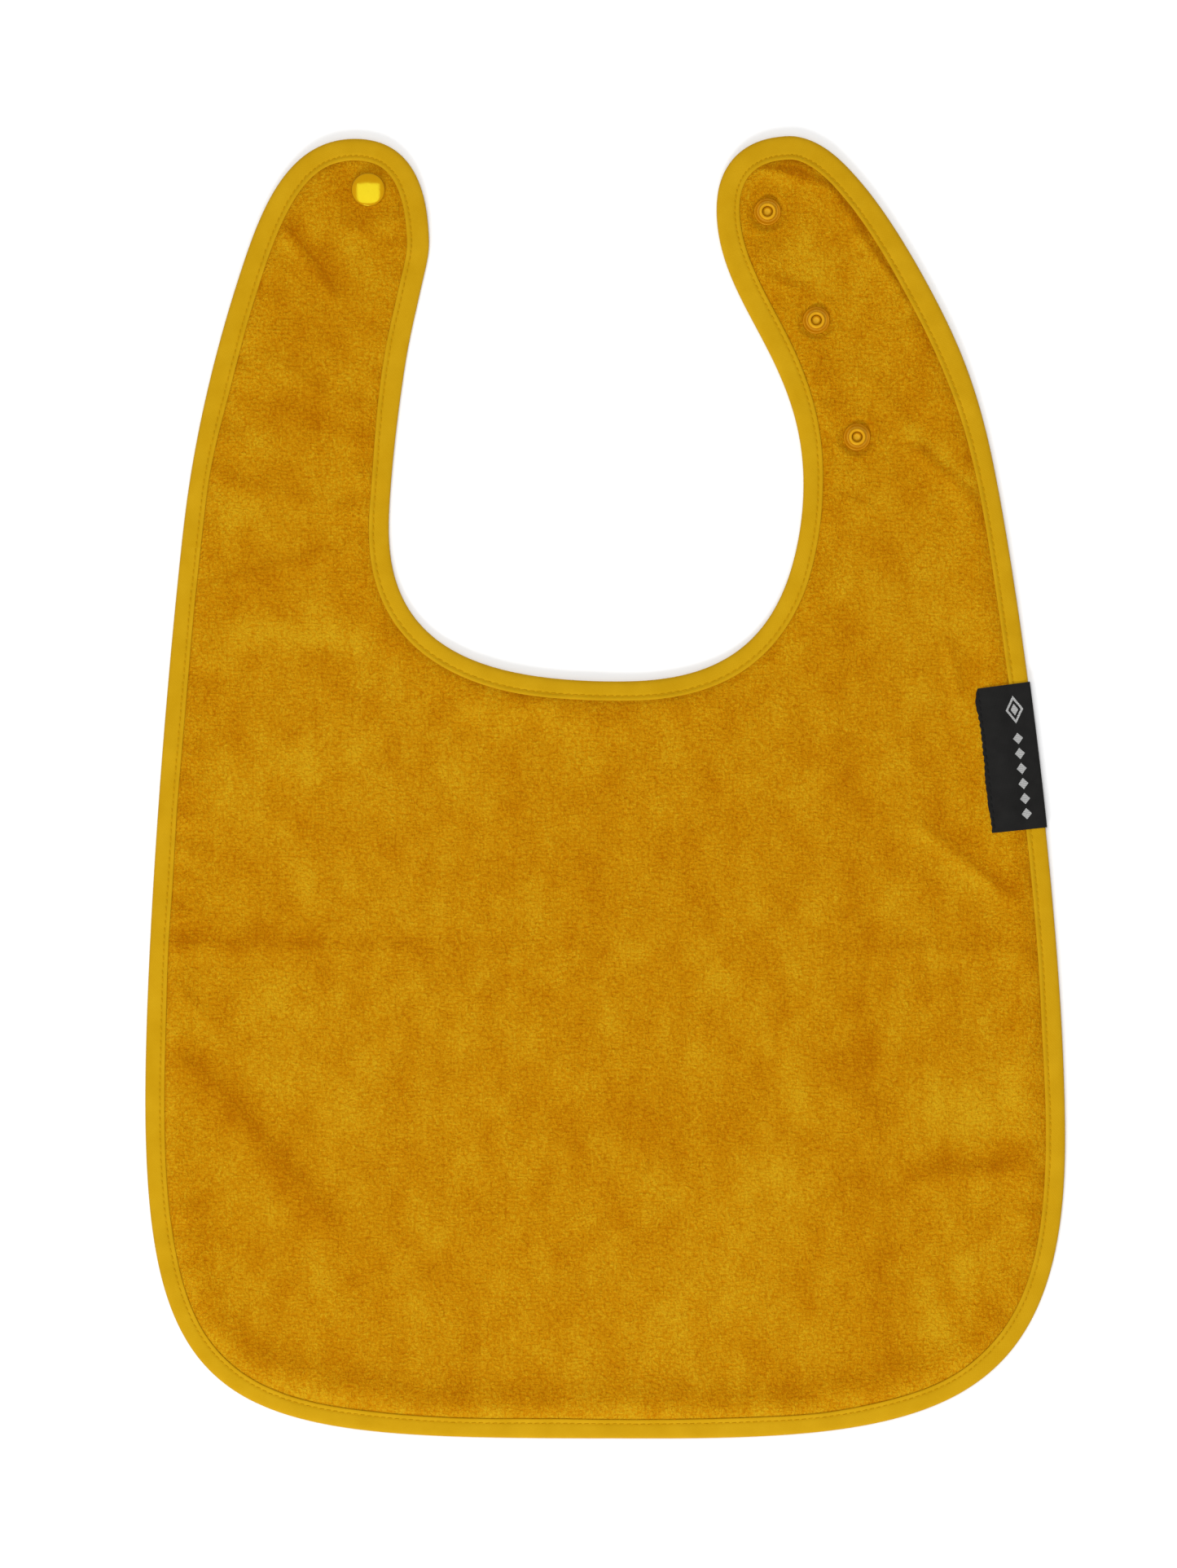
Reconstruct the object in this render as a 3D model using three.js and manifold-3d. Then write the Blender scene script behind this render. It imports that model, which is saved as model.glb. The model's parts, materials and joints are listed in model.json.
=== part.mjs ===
// A baby bib lying face up and open: velour towelling on a waterproof backing, edged with a
// folded binding tape. Two neck tabs fold at the shoulders and close with plastic press studs.
// Millimetres. X runs across the bib, Y from the hem to the tab tips, Z up out of the towelling.
// The origin is the middle of the bib's footprint, on the surface that it lies on.
import * as THREE from "three";
import { mergeVertices } from "three/addons/utils/BufferGeometryUtils.js";
import Module from "manifold-3d";

const wasm = await Module();
wasm.setup();

// Overall sizes.
const bibLength = 480;
const bibWidth = 339;
const tabLength = 145; // fold line to the tab tips
const shoulderWidth = 303; // across both tabs at the fold line
const neckWidth = 151.5; // between the tabs at the fold line
const neckDepth = 56; // fold line to the bottom of the neck
const neckShift = -4; // the neck lies a little left of the middle
const leftTabShort = 1; // the left tip lies this much lower than the right one
const bellyHeight = { left: 124.5, right: 109.5 }; // hem to the widest level

// Cloth layers.
const tapeThickness = 0.5;
const backingThickness = 0.3;
const rimThickness = 1; // towelling pressed between the legs of the binding
const pileThickness = 2; // towelling and its pile, free
const pressedThickness = 0.8; // towelling and backing, clamped by a snap
const bindingWidth = 7.2;
const bindingNose = 0.5; // how far the tape's edge rounds back
const pileGap = 0.3; // between the binding and the raised pile

// Topstitch of the binding.
const threadWidth = 0.45;
const threadHeight = 0.3;
const stitchMargin = 1.7; // inner edge of the binding to the stitch line
const threadGap = 0.05;

// Folded side label.
const labelHeight = 54; // along the edge of the bib
const labelReach = 20; // from the edge inwards, on each face
const labelThickness = 0.3;
const labelGap = 0.3; // round the edge of the binding
const labelBelowFold = 84; // fold line to the label's middle
const labelStitchMargin = 1.2;
const labelStitchEnd = 1.5; // stitch line to the label's top and bottom

// Press studs.
const capDiameter = 12.4;
const capHeight = 1.4;
const postDiameter = 2.4;
const postGap = 0.15;
const headDiameter = 3.2; // the post's end, pressed flat
const headHeight = 0.8;
const plateThickness = 0.9;
const studDiameter = 10;
const studHeight = 2.9;
const knobDiameter = 6.4;
const knobBore = 3.8;
const socketDiameter = 10.7;
const socketHeight = 2.9;
const socketGap = 0.15; // round the stud's knob when it is snapped in
const seatMargin = 0.3; // cloth pressed flat this far past a snap's edge
const seatFlare = 3.8; // width of the slope from the pressed cloth to the free cloth
const seatGap = 0.2;
const capFromTip = [5, -19];
const studsFromTip = [[-9, -28], [9, -68], [24, -111]];

// Folding.
const foldRange = 150; // degrees each way
const foldSpare = 2; // degrees of clearance at the end of the range
const foldGap = 0.3; // between tab and panel on the fold line

const roundSegments = 16;
const outlineStep = 17; // longest straight step along the outline
const outlineTurn = 9; // degrees, most that the outline turns in one step

// Levels, from the surface that the bib lies on.
const tapeBottom = labelThickness;
const backingBottom = tapeBottom + tapeThickness;
const towelBottom = backingBottom + backingThickness;
const rimTop = towelBottom + rimThickness;
const tapeTop = rimTop + tapeThickness;
const pileTop = towelBottom + pileThickness;
const foldLevel = (tapeBottom + tapeTop) / 2;
const clearHeight = 6; // cuts run this far above and below the cloth

const topY = bibLength / 2;
const hemY = -topY;
const foldY = topY - tabLength;
const neckX = { left: neckShift - neckWidth / 2, right: neckShift + neckWidth / 2 };
const shoulderX = { left: neckShift - shoulderWidth / 2, right: neckShift + shoulderWidth / 2 };
const leftTip = [neckX.left - 12.5, topY - leftTabShort];
const rightTip = [neckX.right - 3, topY];

// The outline as smooth curves between knots, anticlockwise. Each knot has a place, a heading
// in degrees, and its reach into the curves before and after it as a share of their chords.
const outlineKnots = [
  { at: [shoulderX.left, foldY], heading: -96.4, before: 0.33, after: 0.32 },
  { at: [-bibWidth / 2, hemY + bellyHeight.left], heading: -90, before: 0.24, after: 0.56 },
  { at: [19.5, hemY], heading: 0, before: 0.67, after: 0.55 },
  { at: [bibWidth / 2, hemY + bellyHeight.right], heading: 90, before: 0.53, after: 0.3 },
  { at: [shoulderX.right, foldY], heading: 99.7, before: 0.25, after: 0.37 },
  { at: [rightTip[0] + 55, topY - 64], heading: 117, before: 0.37, after: 0.29 },
  { at: rightTip, heading: 180, before: 0.24, after: 0.47 },
  { at: [neckX.right - 30.7, topY - 27], heading: -90, before: 0.42, after: 0.32 },
  { at: [neckX.right, foldY], heading: -98.6, before: 0.49, after: 0.54 },
  { at: [neckShift + 9, foldY - neckDepth], heading: 180, before: 0.37, after: 0.5 },
  { at: [neckX.left, foldY], heading: 90, before: 0.43, after: 0.25 },
  { at: [neckX.left + 7.5, topY - 76], heading: 79, before: 0.24, after: 0.31 },
  { at: [neckX.left + 14.8, topY - 40.5], heading: 90, before: 0.13, after: 0.44 },
  { at: leftTip, heading: 180, before: 0.44, after: 0.39 },
  { at: [shoulderX.left + 20.5, topY - 52], heading: -108, before: 0.36, after: 0.33 },
];

function curveBetween(from, to) {
  const start = new THREE.Vector2(...from.at);
  const end = new THREE.Vector2(...to.at);
  const chord = start.distanceTo(end);
  const handle = (knot, reach) => {
    const turn = THREE.MathUtils.degToRad(knot.heading);
    return new THREE.Vector2(Math.cos(turn), Math.sin(turn)).multiplyScalar(reach * chord);
  };
  return new THREE.CubicBezierCurve(
    start,
    start.clone().add(handle(from, from.after)),
    end.clone().sub(handle(to, to.before)),
    end,
  );
}

// A station is a point of the outline with the unit normal that points into the cloth.
function stationOn(curve, u) {
  const heading = curve.getTangentAt(u);
  return { point: curve.getPointAt(u), inward: new THREE.Vector2(-heading.y, heading.x) };
}

function stepsFor(curve, from, to) {
  const turn = Math.abs(((to.heading - from.heading + 540) % 360) - 180);
  return Math.max(3, Math.ceil(curve.getLength() / outlineStep), Math.ceil(turn / outlineTurn));
}

const outlineCurves = outlineKnots.map((knot, i) =>
  curveBetween(knot, outlineKnots[(i + 1) % outlineKnots.length]),
);
const outline = outlineCurves.flatMap((curve, i) => {
  const steps = stepsFor(curve, outlineKnots[i], outlineKnots[(i + 1) % outlineKnots.length]);
  return Array.from({ length: steps }, (_, k) => stationOn(curve, k / steps));
});

const insetPoint = (station, inset) =>
  station.point.clone().addScaledVector(station.inward, inset);

// A closed three.js geometry as a solid that can be joined and cut.
function solid(geometry) {
  geometry.deleteAttribute("normal");
  geometry.deleteAttribute("uv");
  const merged = mergeVertices(geometry, 1e-4);
  return new wasm.Manifold(
    new wasm.Mesh({
      numProp: 3,
      vertProperties: merged.attributes.position.array,
      triVerts: new Uint32Array(merged.index.array),
    }),
  );
}

// The area inside the outline, moved inwards by inset, between two levels.
function slab(inset, low, high) {
  const shape = new THREE.Shape(outline.map((station) => insetPoint(station, inset)));
  const made = new THREE.ExtrudeGeometry(shape, { depth: high - low, bevelEnabled: false });
  return solid(made.translate(0, 0, low));
}

// A section of [inset, level] points, clockwise seen along the outline, swept through stations.
function sweep(stations, section, closed) {
  const positions = stations.flatMap((station) =>
    section.flatMap(([inset, level]) => [...insetPoint(station, inset).toArray(), level]),
  );
  const size = section.length;
  const index = [];
  const last = closed ? stations.length : stations.length - 1;
  for (let i = 0; i < last; i++) {
    const here = i * size;
    const next = ((i + 1) % stations.length) * size;
    for (let k = 0; k < size; k++) {
      const side = (k + 1) % size;
      index.push(here + k, next + k, next + side, here + k, next + side, here + side);
    }
  }
  if (!closed) {
    const end = last * size;
    const flat = section.map(([inset, level]) => new THREE.Vector2(inset, level));
    for (const [a, b, c] of THREE.ShapeUtils.triangulateShape(flat, [])) {
      index.push(c, b, a, end + a, end + b, end + c);
    }
  }
  const made = new THREE.BufferGeometry();
  made.setAttribute("position", new THREE.Float32BufferAttribute(positions, 3));
  return solid(made.setIndex(index));
}

// A profile of [radius, level] points turned about an upright line at [x, y].
function turned([x, y], profile) {
  const points = profile.map(([radius, level]) => new THREE.Vector2(radius, level));
  const made = new THREE.LatheGeometry(points, roundSegments);
  return solid(made.rotateX(Math.PI / 2).translate(x, y, 0));
}

const disc = (centre, radius, low, high) =>
  turned(centre, [[0, low], [radius, low], [radius, high], [0, high]]);

// Everything on one side of the fold line: side is 1 for the tabs and -1 for the panel. Its edge
// is pointed, so that cloth cut by it clears the other side over the whole folding range.
function foldSide(side) {
  const slope = Math.tan(THREE.MathUtils.degToRad((foldRange + foldSpare) / 2));
  const edge = foldY + (side * foldGap) / 2;
  const back = edge + side * clearHeight * slope;
  const far = side * bibLength;
  const profile = [
    [far, foldLevel + clearHeight],
    [far, foldLevel - clearHeight],
    [back, foldLevel - clearHeight],
    [edge, foldLevel],
    [back, foldLevel + clearHeight],
  ];
  const shape = new THREE.Shape(profile.map(([y, z]) => new THREE.Vector2(y, z)));
  const made = new THREE.ExtrudeGeometry(shape, { depth: 2 * bibWidth, bevelEnabled: false });
  const yzx = new THREE.Matrix4().makeBasis(
    new THREE.Vector3(0, 1, 0),
    new THREE.Vector3(0, 0, 1),
    new THREE.Vector3(1, 0, 0),
  );
  return solid(made.applyMatrix4(yzx).translate(-bibWidth, 0, 0));
}

// Everything between two X values and above a Y value.
function zone(lowX, highX, lowY) {
  const made = new THREE.BoxGeometry(highX - lowX, bibLength, 4 * clearHeight);
  return solid(made.translate((lowX + highX) / 2, lowY + bibLength / 2, 0));
}

const panelSide = foldSide(-1);
const tabSide = foldSide(1);
const leftTabSide = tabSide.intersect(zone(-bibWidth, neckShift, 0));
const rightTabSide = tabSide.intersect(zone(neckShift, bibWidth, 0));
const neckZone = zone(
  (neckX.left + shoulderX.left) / 2,
  (neckX.right + shoulderX.right) / 2,
  foldY - neckDepth - 2 * bindingWidth,
);

// Snap places. The front piece is what shows on the towelling, the back piece is behind it.
const snapFrom = (tip, [x, y]) => [tip[0] + x, tip[1] + y];
const leftSnap = {
  centre: snapFrom(leftTip, capFromTip),
  frontRadius: capDiameter / 2,
  backRadius: socketDiameter / 2,
  backLevel: socketHeight,
};
const rightSnaps = studsFromTip.map((offset) => ({
  centre: snapFrom(rightTip, offset),
  frontRadius: studDiameter / 2,
  backRadius: capDiameter / 2,
  backLevel: capHeight,
}));
const frontLevel = (snap) => snap.backLevel + pressedThickness;
const postHole = postDiameter / 2 + postGap;

// The cloth of one layer round a snap: pressed flat at the snap, then sloping to its free levels.
function formSeat(layer, free, snap, pressed, radius) {
  const outer = Math.max(radius.bottom, radius.top) + seatFlare + seatMargin;
  const inside = slab(bindingWidth + pileGap, -clearHeight, clearHeight);
  const seat = turned(snap.centre, [
    [postHole, pressed.bottom],
    [radius.bottom, pressed.bottom],
    [radius.bottom + seatFlare, free.bottom],
    [outer, free.bottom],
    [outer, free.top],
    [radius.top + seatFlare, free.top],
    [radius.top, pressed.top],
    [postHole, pressed.top],
    [postHole, pressed.bottom],
  ]);
  const hole = disc(snap.centre, outer - seatMargin / 2, -clearHeight, clearHeight);
  return layer.subtract(hole.intersect(inside)).add(seat.intersect(inside));
}

function makeBacking() {
  const free = { bottom: backingBottom, top: towelBottom };
  let layer = slab(tapeThickness + pileGap, free.bottom, free.top);
  for (const snap of [leftSnap, ...rightSnaps]) {
    const pressed = { bottom: snap.backLevel, top: snap.backLevel + backingThickness };
    const radius = snap.backRadius + seatMargin;
    layer = formSeat(layer, free, snap, pressed, { bottom: radius, top: radius });
  }
  return layer;
}

function makeTowelling() {
  const rim = slab(tapeThickness + pileGap, towelBottom, rimTop);
  const pile = slab(bindingWidth + pileGap, towelBottom, pileTop);
  const free = { bottom: towelBottom, top: pileTop };
  let layer = rim.add(pile);
  for (const snap of [leftSnap, ...rightSnaps]) {
    const pressed = { bottom: snap.backLevel + backingThickness, top: frontLevel(snap) };
    layer = formSeat(layer, free, snap, pressed, {
      bottom: snap.backRadius + seatMargin + seatGap,
      top: snap.frontRadius + seatMargin,
    });
  }
  return layer;
}

// The tape folded round the cloth's edge, with a groove underneath for the bobbin thread.
const threadFar = bindingWidth - stitchMargin + threadWidth / 2;
const threadNear = threadFar - threadWidth;
const grooveTop = tapeBottom + threadHeight + threadGap;

const makeBinding = () =>
  sweep(
    outline,
    [
      [0, foldLevel],
      [bindingNose, tapeTop],
      [bindingWidth, tapeTop],
      [bindingWidth, rimTop],
      [tapeThickness, rimTop],
      [tapeThickness, backingBottom],
      [bindingWidth, backingBottom],
      [bindingWidth, tapeBottom],
      [threadFar + threadGap, tapeBottom],
      [threadFar + threadGap, grooveTop],
      [threadNear - threadGap, grooveTop],
      [threadNear - threadGap, tapeBottom],
      [bindingNose, tapeBottom],
    ],
    true,
  );

const threadSection = (near, far, low, high) => [
  [near, low],
  [near, high],
  [far, high],
  [far, low],
];

const makeThread = (low) =>
  sweep(outline, threadSection(threadNear, threadFar, low, low + threadHeight), true);

// The label is folded round the finished edge, so its stations follow the edge of the hem side.
const sideCurve = outlineCurves[3];
const labelStations = (length, count) => {
  const whole = sideCurve.getLength();
  const middle = whole - labelBelowFold;
  return Array.from({ length: count + 1 }, (_, k) =>
    stationOn(sideCurve, (middle + length * (k / count - 0.5)) / whole),
  );
};
const labelSteps = 6;
const labelStitchFar = labelReach - labelStitchMargin + threadWidth / 2;
const labelStitchNear = labelStitchFar - threadWidth;
const labelTop = pileTop + labelThickness;
const labelStitchLength = labelHeight - 2 * labelStitchEnd;

function makeLabel() {
  const folded = sweep(
    labelStations(labelHeight, labelSteps),
    [
      [-labelGap - labelThickness, 0],
      [-labelGap - labelThickness, labelTop],
      [labelReach, labelTop],
      [labelReach, pileTop],
      [-labelGap, pileTop],
      [-labelGap, labelThickness],
      [labelReach, labelThickness],
      [labelReach, 0],
    ],
    false,
  );
  const near = labelStitchNear - threadGap;
  const far = labelStitchFar + threadGap;
  const slot = sweep(
    labelStations(labelStitchLength + 2 * threadGap, labelSteps),
    threadSection(near, far, -clearHeight, labelThickness + tapeThickness / 2),
    false,
  );
  return folded.subtract(slot);
}

const makeLabelThread = (low, high) =>
  sweep(
    labelStations(labelStitchLength, labelSteps),
    threadSection(labelStitchNear, labelStitchFar, low, high),
    false,
  );

// A domed cap whose post goes through the cloth and a plate, and is pressed flat behind it.
// up is 1 for a cap on the towelling and -1 for one on the backing.
function makeCap(snap, level, up) {
  const radius = capDiameter / 2;
  const plateFar = -pressedThickness - plateThickness;
  const profile = [
    [0, plateFar - headHeight],
    [headDiameter / 2 - 0.4, plateFar - headHeight],
    [headDiameter / 2, plateFar - headHeight / 2],
    [headDiameter / 2, plateFar],
    [postDiameter / 2, plateFar],
    [postDiameter / 2, 0],
    [radius - 0.2, 0],
    [radius, 0.3 * capHeight],
    [0.87 * radius, 0.7 * capHeight],
    [0.55 * radius, 0.93 * capHeight],
    [0, capHeight],
  ];
  const placed = profile.map(([r, z]) => [r, level + up * z]);
  return turned(snap.centre, up > 0 ? placed : placed.reverse());
}

function makeStud(snap) {
  const low = frontLevel(snap);
  const plateTop = low + plateThickness;
  const top = low + studHeight;
  const knob = knobDiameter / 2;
  const bore = knobBore / 2;
  const round = 0.35;
  return turned(snap.centre, [
    [postHole, low],
    [studDiameter / 2, low],
    [studDiameter / 2, plateTop - round],
    [studDiameter / 2 - round, plateTop],
    [knob, plateTop],
    [knob, top - round],
    [knob - round, top],
    [bore + round, top],
    [bore, top - round],
    [bore, plateTop],
    [postHole, plateTop],
    [postHole, low],
  ]);
}

function makeSocket(snap) {
  const face = snap.backLevel;
  const plateLow = face - plateThickness;
  const cavity = knobDiameter / 2 + socketGap;
  const round = 0.35;
  return turned(snap.centre, [
    [postHole, plateLow],
    [cavity, plateLow],
    [cavity, 0],
    [socketDiameter / 2 - 2 * round, 0],
    [socketDiameter / 2 - round, plateLow],
    [socketDiameter / 2, plateLow + round],
    [socketDiameter / 2, face],
    [postHole, face],
    [postHole, plateLow],
  ]);
}

const finish = (color, roughness) =>
  new THREE.MeshStandardMaterial({ color, roughness, metalness: 0 });
const velour = finish(0xc5870b, 0.95);
const laminate = finish(0xd6a63c, 0.6);
const tape = finish(0xd0a015, 0.8);
const thread = finish(0xb98412, 0.7);
const labelCloth = finish(0x22211f, 0.85);
const labelThread = finish(0x151413, 0.7);
const plastic = finish(0xc5890d, 0.25);

function meshOf(name, body, material) {
  const { vertProperties, numProp, triVerts } = body.getMesh();
  const geometry = new THREE.BufferGeometry();
  geometry.setAttribute("position", new THREE.Float32BufferAttribute(vertProperties, numProp));
  geometry.setIndex([...triVerts]);
  geometry.computeVertexNormals();
  const mesh = new THREE.Mesh(geometry, material);
  mesh.name = name;
  return mesh;
}

const towelling = makeTowelling();
const backing = makeBacking();
const binding = makeBinding();
const needleThread = makeThread(tapeTop);
const bobbinThread = makeThread(tapeBottom);

// What runs round the whole edge is one hem stretch and one neck stretch on the panel.
const edgePieces = [
  ["binding", binding, tape],
  ["needle_thread", needleThread, thread],
  ["bobbin_thread", bobbinThread, thread],
];

function makePanel() {
  const body = new THREE.Group();
  body.add(meshOf("towelling_panel", towelling.intersect(panelSide), velour));
  body.add(meshOf("backing_panel", backing.intersect(panelSide), laminate));
  for (const [name, ring, material] of edgePieces) {
    const edges = ring.intersect(panelSide);
    body.add(meshOf("hem_" + name, edges.subtract(neckZone), material));
    body.add(meshOf("neck_" + name, edges.intersect(neckZone), material));
  }
  body.add(meshOf("side_label", makeLabel(), labelCloth));
  const needle = makeLabelThread(labelTop, labelTop + threadHeight / 2);
  body.add(meshOf("label_needle_thread", needle, labelThread));
  body.add(meshOf("label_bobbin_thread", makeLabelThread(0, labelThickness), labelThread));
  return body;
}

function makeTab(name, side) {
  const body = new THREE.Group();
  body.add(meshOf("towelling_" + name, towelling.intersect(side), velour));
  body.add(meshOf("backing_" + name, backing.intersect(side), laminate));
  for (const [piece, ring, material] of edgePieces) {
    body.add(meshOf(name + "_" + piece, ring.intersect(side), material));
  }
  return body;
}

const leftTab = makeTab("left_tab", leftTabSide);
leftTab.add(meshOf("front_snap_cap", makeCap(leftSnap, frontLevel(leftSnap), 1), plastic));
leftTab.add(meshOf("back_snap_socket", makeSocket(leftSnap), plastic));

const rightTab = makeTab("right_tab", rightTabSide);
rightSnaps.forEach((snap, i) => {
  rightTab.add(meshOf("snap_stud_" + (i + 1), makeStud(snap), plastic));
  rightTab.add(meshOf("back_snap_cap_" + (i + 1), makeCap(snap, snap.backLevel, -1), plastic));
});

const bib = new THREE.Group();
bib.add(makePanel(), leftTab, rightTab);

export default bib;
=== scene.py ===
"""A baby bib of mustard velour towelling, lying open and face up on a pale floor.

Every piece is made here in millimetres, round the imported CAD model, and its mesh is in metres.
The cloth layers share one flat plan and one height field, so they lift and crease together.
"""

import json
import math
from types import SimpleNamespace

import bmesh
import bpy
import numpy as np
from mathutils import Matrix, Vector
from mathutils.geometry import delaunay_2d_cdt
from mathutils.kdtree import KDTree


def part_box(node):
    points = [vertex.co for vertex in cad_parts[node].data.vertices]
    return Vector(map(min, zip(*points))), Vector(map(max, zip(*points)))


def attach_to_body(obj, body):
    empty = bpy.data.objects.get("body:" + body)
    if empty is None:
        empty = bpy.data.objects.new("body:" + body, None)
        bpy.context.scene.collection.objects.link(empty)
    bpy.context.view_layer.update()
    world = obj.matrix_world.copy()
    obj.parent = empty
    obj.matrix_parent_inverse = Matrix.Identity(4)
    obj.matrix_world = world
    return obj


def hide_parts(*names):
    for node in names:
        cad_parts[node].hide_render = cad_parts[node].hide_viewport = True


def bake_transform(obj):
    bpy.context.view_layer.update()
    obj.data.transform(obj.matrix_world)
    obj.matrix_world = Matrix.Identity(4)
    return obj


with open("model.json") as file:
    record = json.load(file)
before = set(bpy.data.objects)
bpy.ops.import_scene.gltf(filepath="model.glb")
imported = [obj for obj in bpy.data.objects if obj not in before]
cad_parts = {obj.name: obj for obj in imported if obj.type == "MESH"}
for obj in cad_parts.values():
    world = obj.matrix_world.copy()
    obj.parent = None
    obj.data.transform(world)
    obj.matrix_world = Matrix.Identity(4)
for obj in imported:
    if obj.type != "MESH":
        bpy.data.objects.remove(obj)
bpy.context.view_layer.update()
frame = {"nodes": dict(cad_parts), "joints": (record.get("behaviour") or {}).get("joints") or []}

MM = 0.001


def box_of(node):
    """Lowest and highest corner of a CAD node, in millimetres."""
    low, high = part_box(node)
    return np.array(low) / MM, np.array(high) / MM


# Levels of the cloth layers, from the surface that the bib lies on.
TAPE_BOTTOM, TAPE_TOP = box_of("hem_binding")[0][2], box_of("hem_binding")[1][2]
BACKING_BOTTOM, TOWEL_BOTTOM = box_of("backing_panel")[0][2], box_of("towelling_panel")[0][2]
PILE_TOP = box_of("towelling_panel")[1][2]
TAPE_THICKNESS = BACKING_BOTTOM - TAPE_BOTTOM
BACKING_THICKNESS = TOWEL_BOTTOM - BACKING_BOTTOM
RIM_TOP = TAPE_TOP - TAPE_THICKNESS
NOSE_LEVEL = (TAPE_BOTTOM + TAPE_TOP) / 2

# The fold line. Tab cloth starts a little on the panel's side of it.
FOLD_Y = frame["joints"][0]["pos_m"][1] / MM
SPLIT_Y = FOLD_Y - 6

# Binding and topstitch.
TAPE_WIDTH = 7.2
STITCH_MARGIN = 1.7  # inner edge of the binding to the stitch line
STITCH_PITCH = 2.6
STITCH_LENGTH = 2.1
THREAD_RADIUS = 0.18
STITCH_SLANT = 0.14  # how far each end of a stitch is off the line
STITCH_DIMPLE = 0.1  # how deep the tape is drawn in at a stitch's end
CLOTH_INSET = 0.9  # the cut edge of the cloth, inside the folded tape
LAYER_GAP = 0.04  # between the towelling and its backing

# Snaps.
CAP_HEIGHT = 1.4
POST_HOLE = 1.35
SEAT_MARGIN = 0.3

# Side label.
LABEL_HEIGHT = 54
LABEL_REACH = 20
LABEL_THICKNESS = 0.3
LABEL_SEAM = 18.8  # edge of the bib to the label's stitch line

# Tuft rows of the velour.
TUFT_PITCH = 1.35


def smooth(t):
    """0 below 0, 1 above 1, and a smooth step between them."""
    t = np.clip(t, 0, 1)
    return t * t * (3 - 2 * t)


def mix(a, b, share):
    """a at share 0, b at share 1."""
    return a + (b - a) * share


def circle(centre, radius, count):
    """Evenly spaced points round a circle."""
    turn = np.linspace(0, 2 * math.pi, count, endpoint=False)
    return centre + radius * np.column_stack([np.cos(turn), np.sin(turn)])


def square(half, level):
    """The corners of a level square."""
    return [(-half, -half, level), (half, -half, level), (half, half, level), (-half, half, level)]


def distance_along(points):
    """How far along a line of points each one is."""
    return np.concatenate([[0], np.cumsum(np.linalg.norm(np.diff(points, axis=0), axis=1))])


def ripple(points, wavelength, seed, count=10):
    """A smooth irregular pattern, about -1 to 1: waves of about one length, at many angles."""
    draw = np.random.default_rng(seed)
    angle = draw.uniform(0, 2 * math.pi, count)
    wave = 2 * math.pi / (wavelength * draw.uniform(0.75, 1.45, count))
    phase = draw.uniform(0, 2 * math.pi, count)
    turns = points[:, :1] * np.cos(angle) * wave + points[:, 1:2] * np.sin(angle) * wave
    return np.cos(turns + phase).sum(1) / math.sqrt(count)


def stroke(points, start, end, width, steepness=1.0):
    """1 on the line from start to end, falling away over width to the sides and past its ends.

    Its left side, looking from start to end, falls away as many times faster as the steepness.
    """
    start, along = np.array(start, float), np.subtract(end, start).astype(float)
    share = np.clip((points - start) @ along / (along @ along), 0, 1)
    off = points - start - share[:, None] * along
    away = np.linalg.norm(off, axis=1)
    left = along[0] * off[:, 1] - along[1] * off[:, 0] > 0
    return np.exp(-((away / width * np.where(left, steepness, 1)) ** 2))


# The outline


def nose_points():
    """The outermost vertices of the CAD binding, in order round the bib, anticlockwise."""
    found = set()
    for name in ("hem_binding", "left_tab_binding", "right_tab_binding", "neck_binding"):
        for vertex in frame["nodes"][name].data.vertices:
            x, y, z = vertex.co / MM
            if abs(z - NOSE_LEVEL) < 0.01 and abs(y - FOLD_Y) > 0.3:
                found.add((round(x, 2), round(y, 2)))
    rest = sorted(found, key=lambda p: p[1])
    chain = [rest.pop(0)]
    while rest:
        nearest = min(rest, key=lambda p: math.dist(p, chain[-1]))
        rest.remove(nearest)
        chain.append(nearest)
    loop = np.array(chain)
    after = np.roll(loop, -1, axis=0)
    area = (loop[:, 0] * after[:, 1] - loop[:, 1] * after[:, 0]).sum()
    return loop if area > 0 else loop[::-1]


def closed_spline(knots, spacing):
    """Evenly spaced points on the smooth closed curve through the knots."""
    count = len(knots)
    after, before = np.roll(knots, -1, axis=0), np.roll(knots, 1, axis=0)
    gap = np.linalg.norm(after - knots, axis=1)
    last = np.roll(gap, 1)
    system = np.zeros((count, count))
    i = np.arange(count)
    system[i, i] = 2 * (gap + last)
    system[i, (i + 1) % count] = gap
    system[i, i - 1] = last
    bend = np.linalg.solve(
        system, 6 * ((after - knots) / gap[:, None] - (knots - before) / last[:, None])
    )
    bend_after = np.roll(bend, -1, axis=0)
    fine = []
    for k in range(count):
        h = gap[k]
        t = np.arange(0, h, spacing / 4)[:, None]
        slope = (after[k] - knots[k]) / h - h * (2 * bend[k] + bend_after[k]) / 6
        more_bend = (bend_after[k] - bend[k]) / (6 * h)
        fine.append(knots[k] + slope * t + bend[k] * t**2 / 2 + more_bend * t**3)
    fine = np.concatenate(fine)
    closed = np.vstack([fine, fine[:1]])
    along = distance_along(closed)
    even = np.linspace(0, along[-1], round(along[-1] / spacing), endpoint=False)
    return np.column_stack([np.interp(even, along, closed[:, k]) for k in (0, 1)])


def seam_crossings(loop):
    """The places in the loop where it crosses the seams of the tabs, in order."""
    off = loop[:, 1] - SPLIT_Y
    return np.flatnonzero(np.roll(off, 1) * off <= 0).tolist()


LOOP_STEP = 0.1
loop = closed_spline(nose_points(), LOOP_STEP)
loop = np.roll(loop, -min(seam_crossings(loop), key=lambda i: loop[i, 0]), axis=0)
heading = np.roll(loop, -8, axis=0) - np.roll(loop, 8, axis=0)
heading /= np.linalg.norm(heading, axis=1)[:, None]
inward = np.column_stack([-heading[:, 1], heading[:, 0]])


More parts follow.
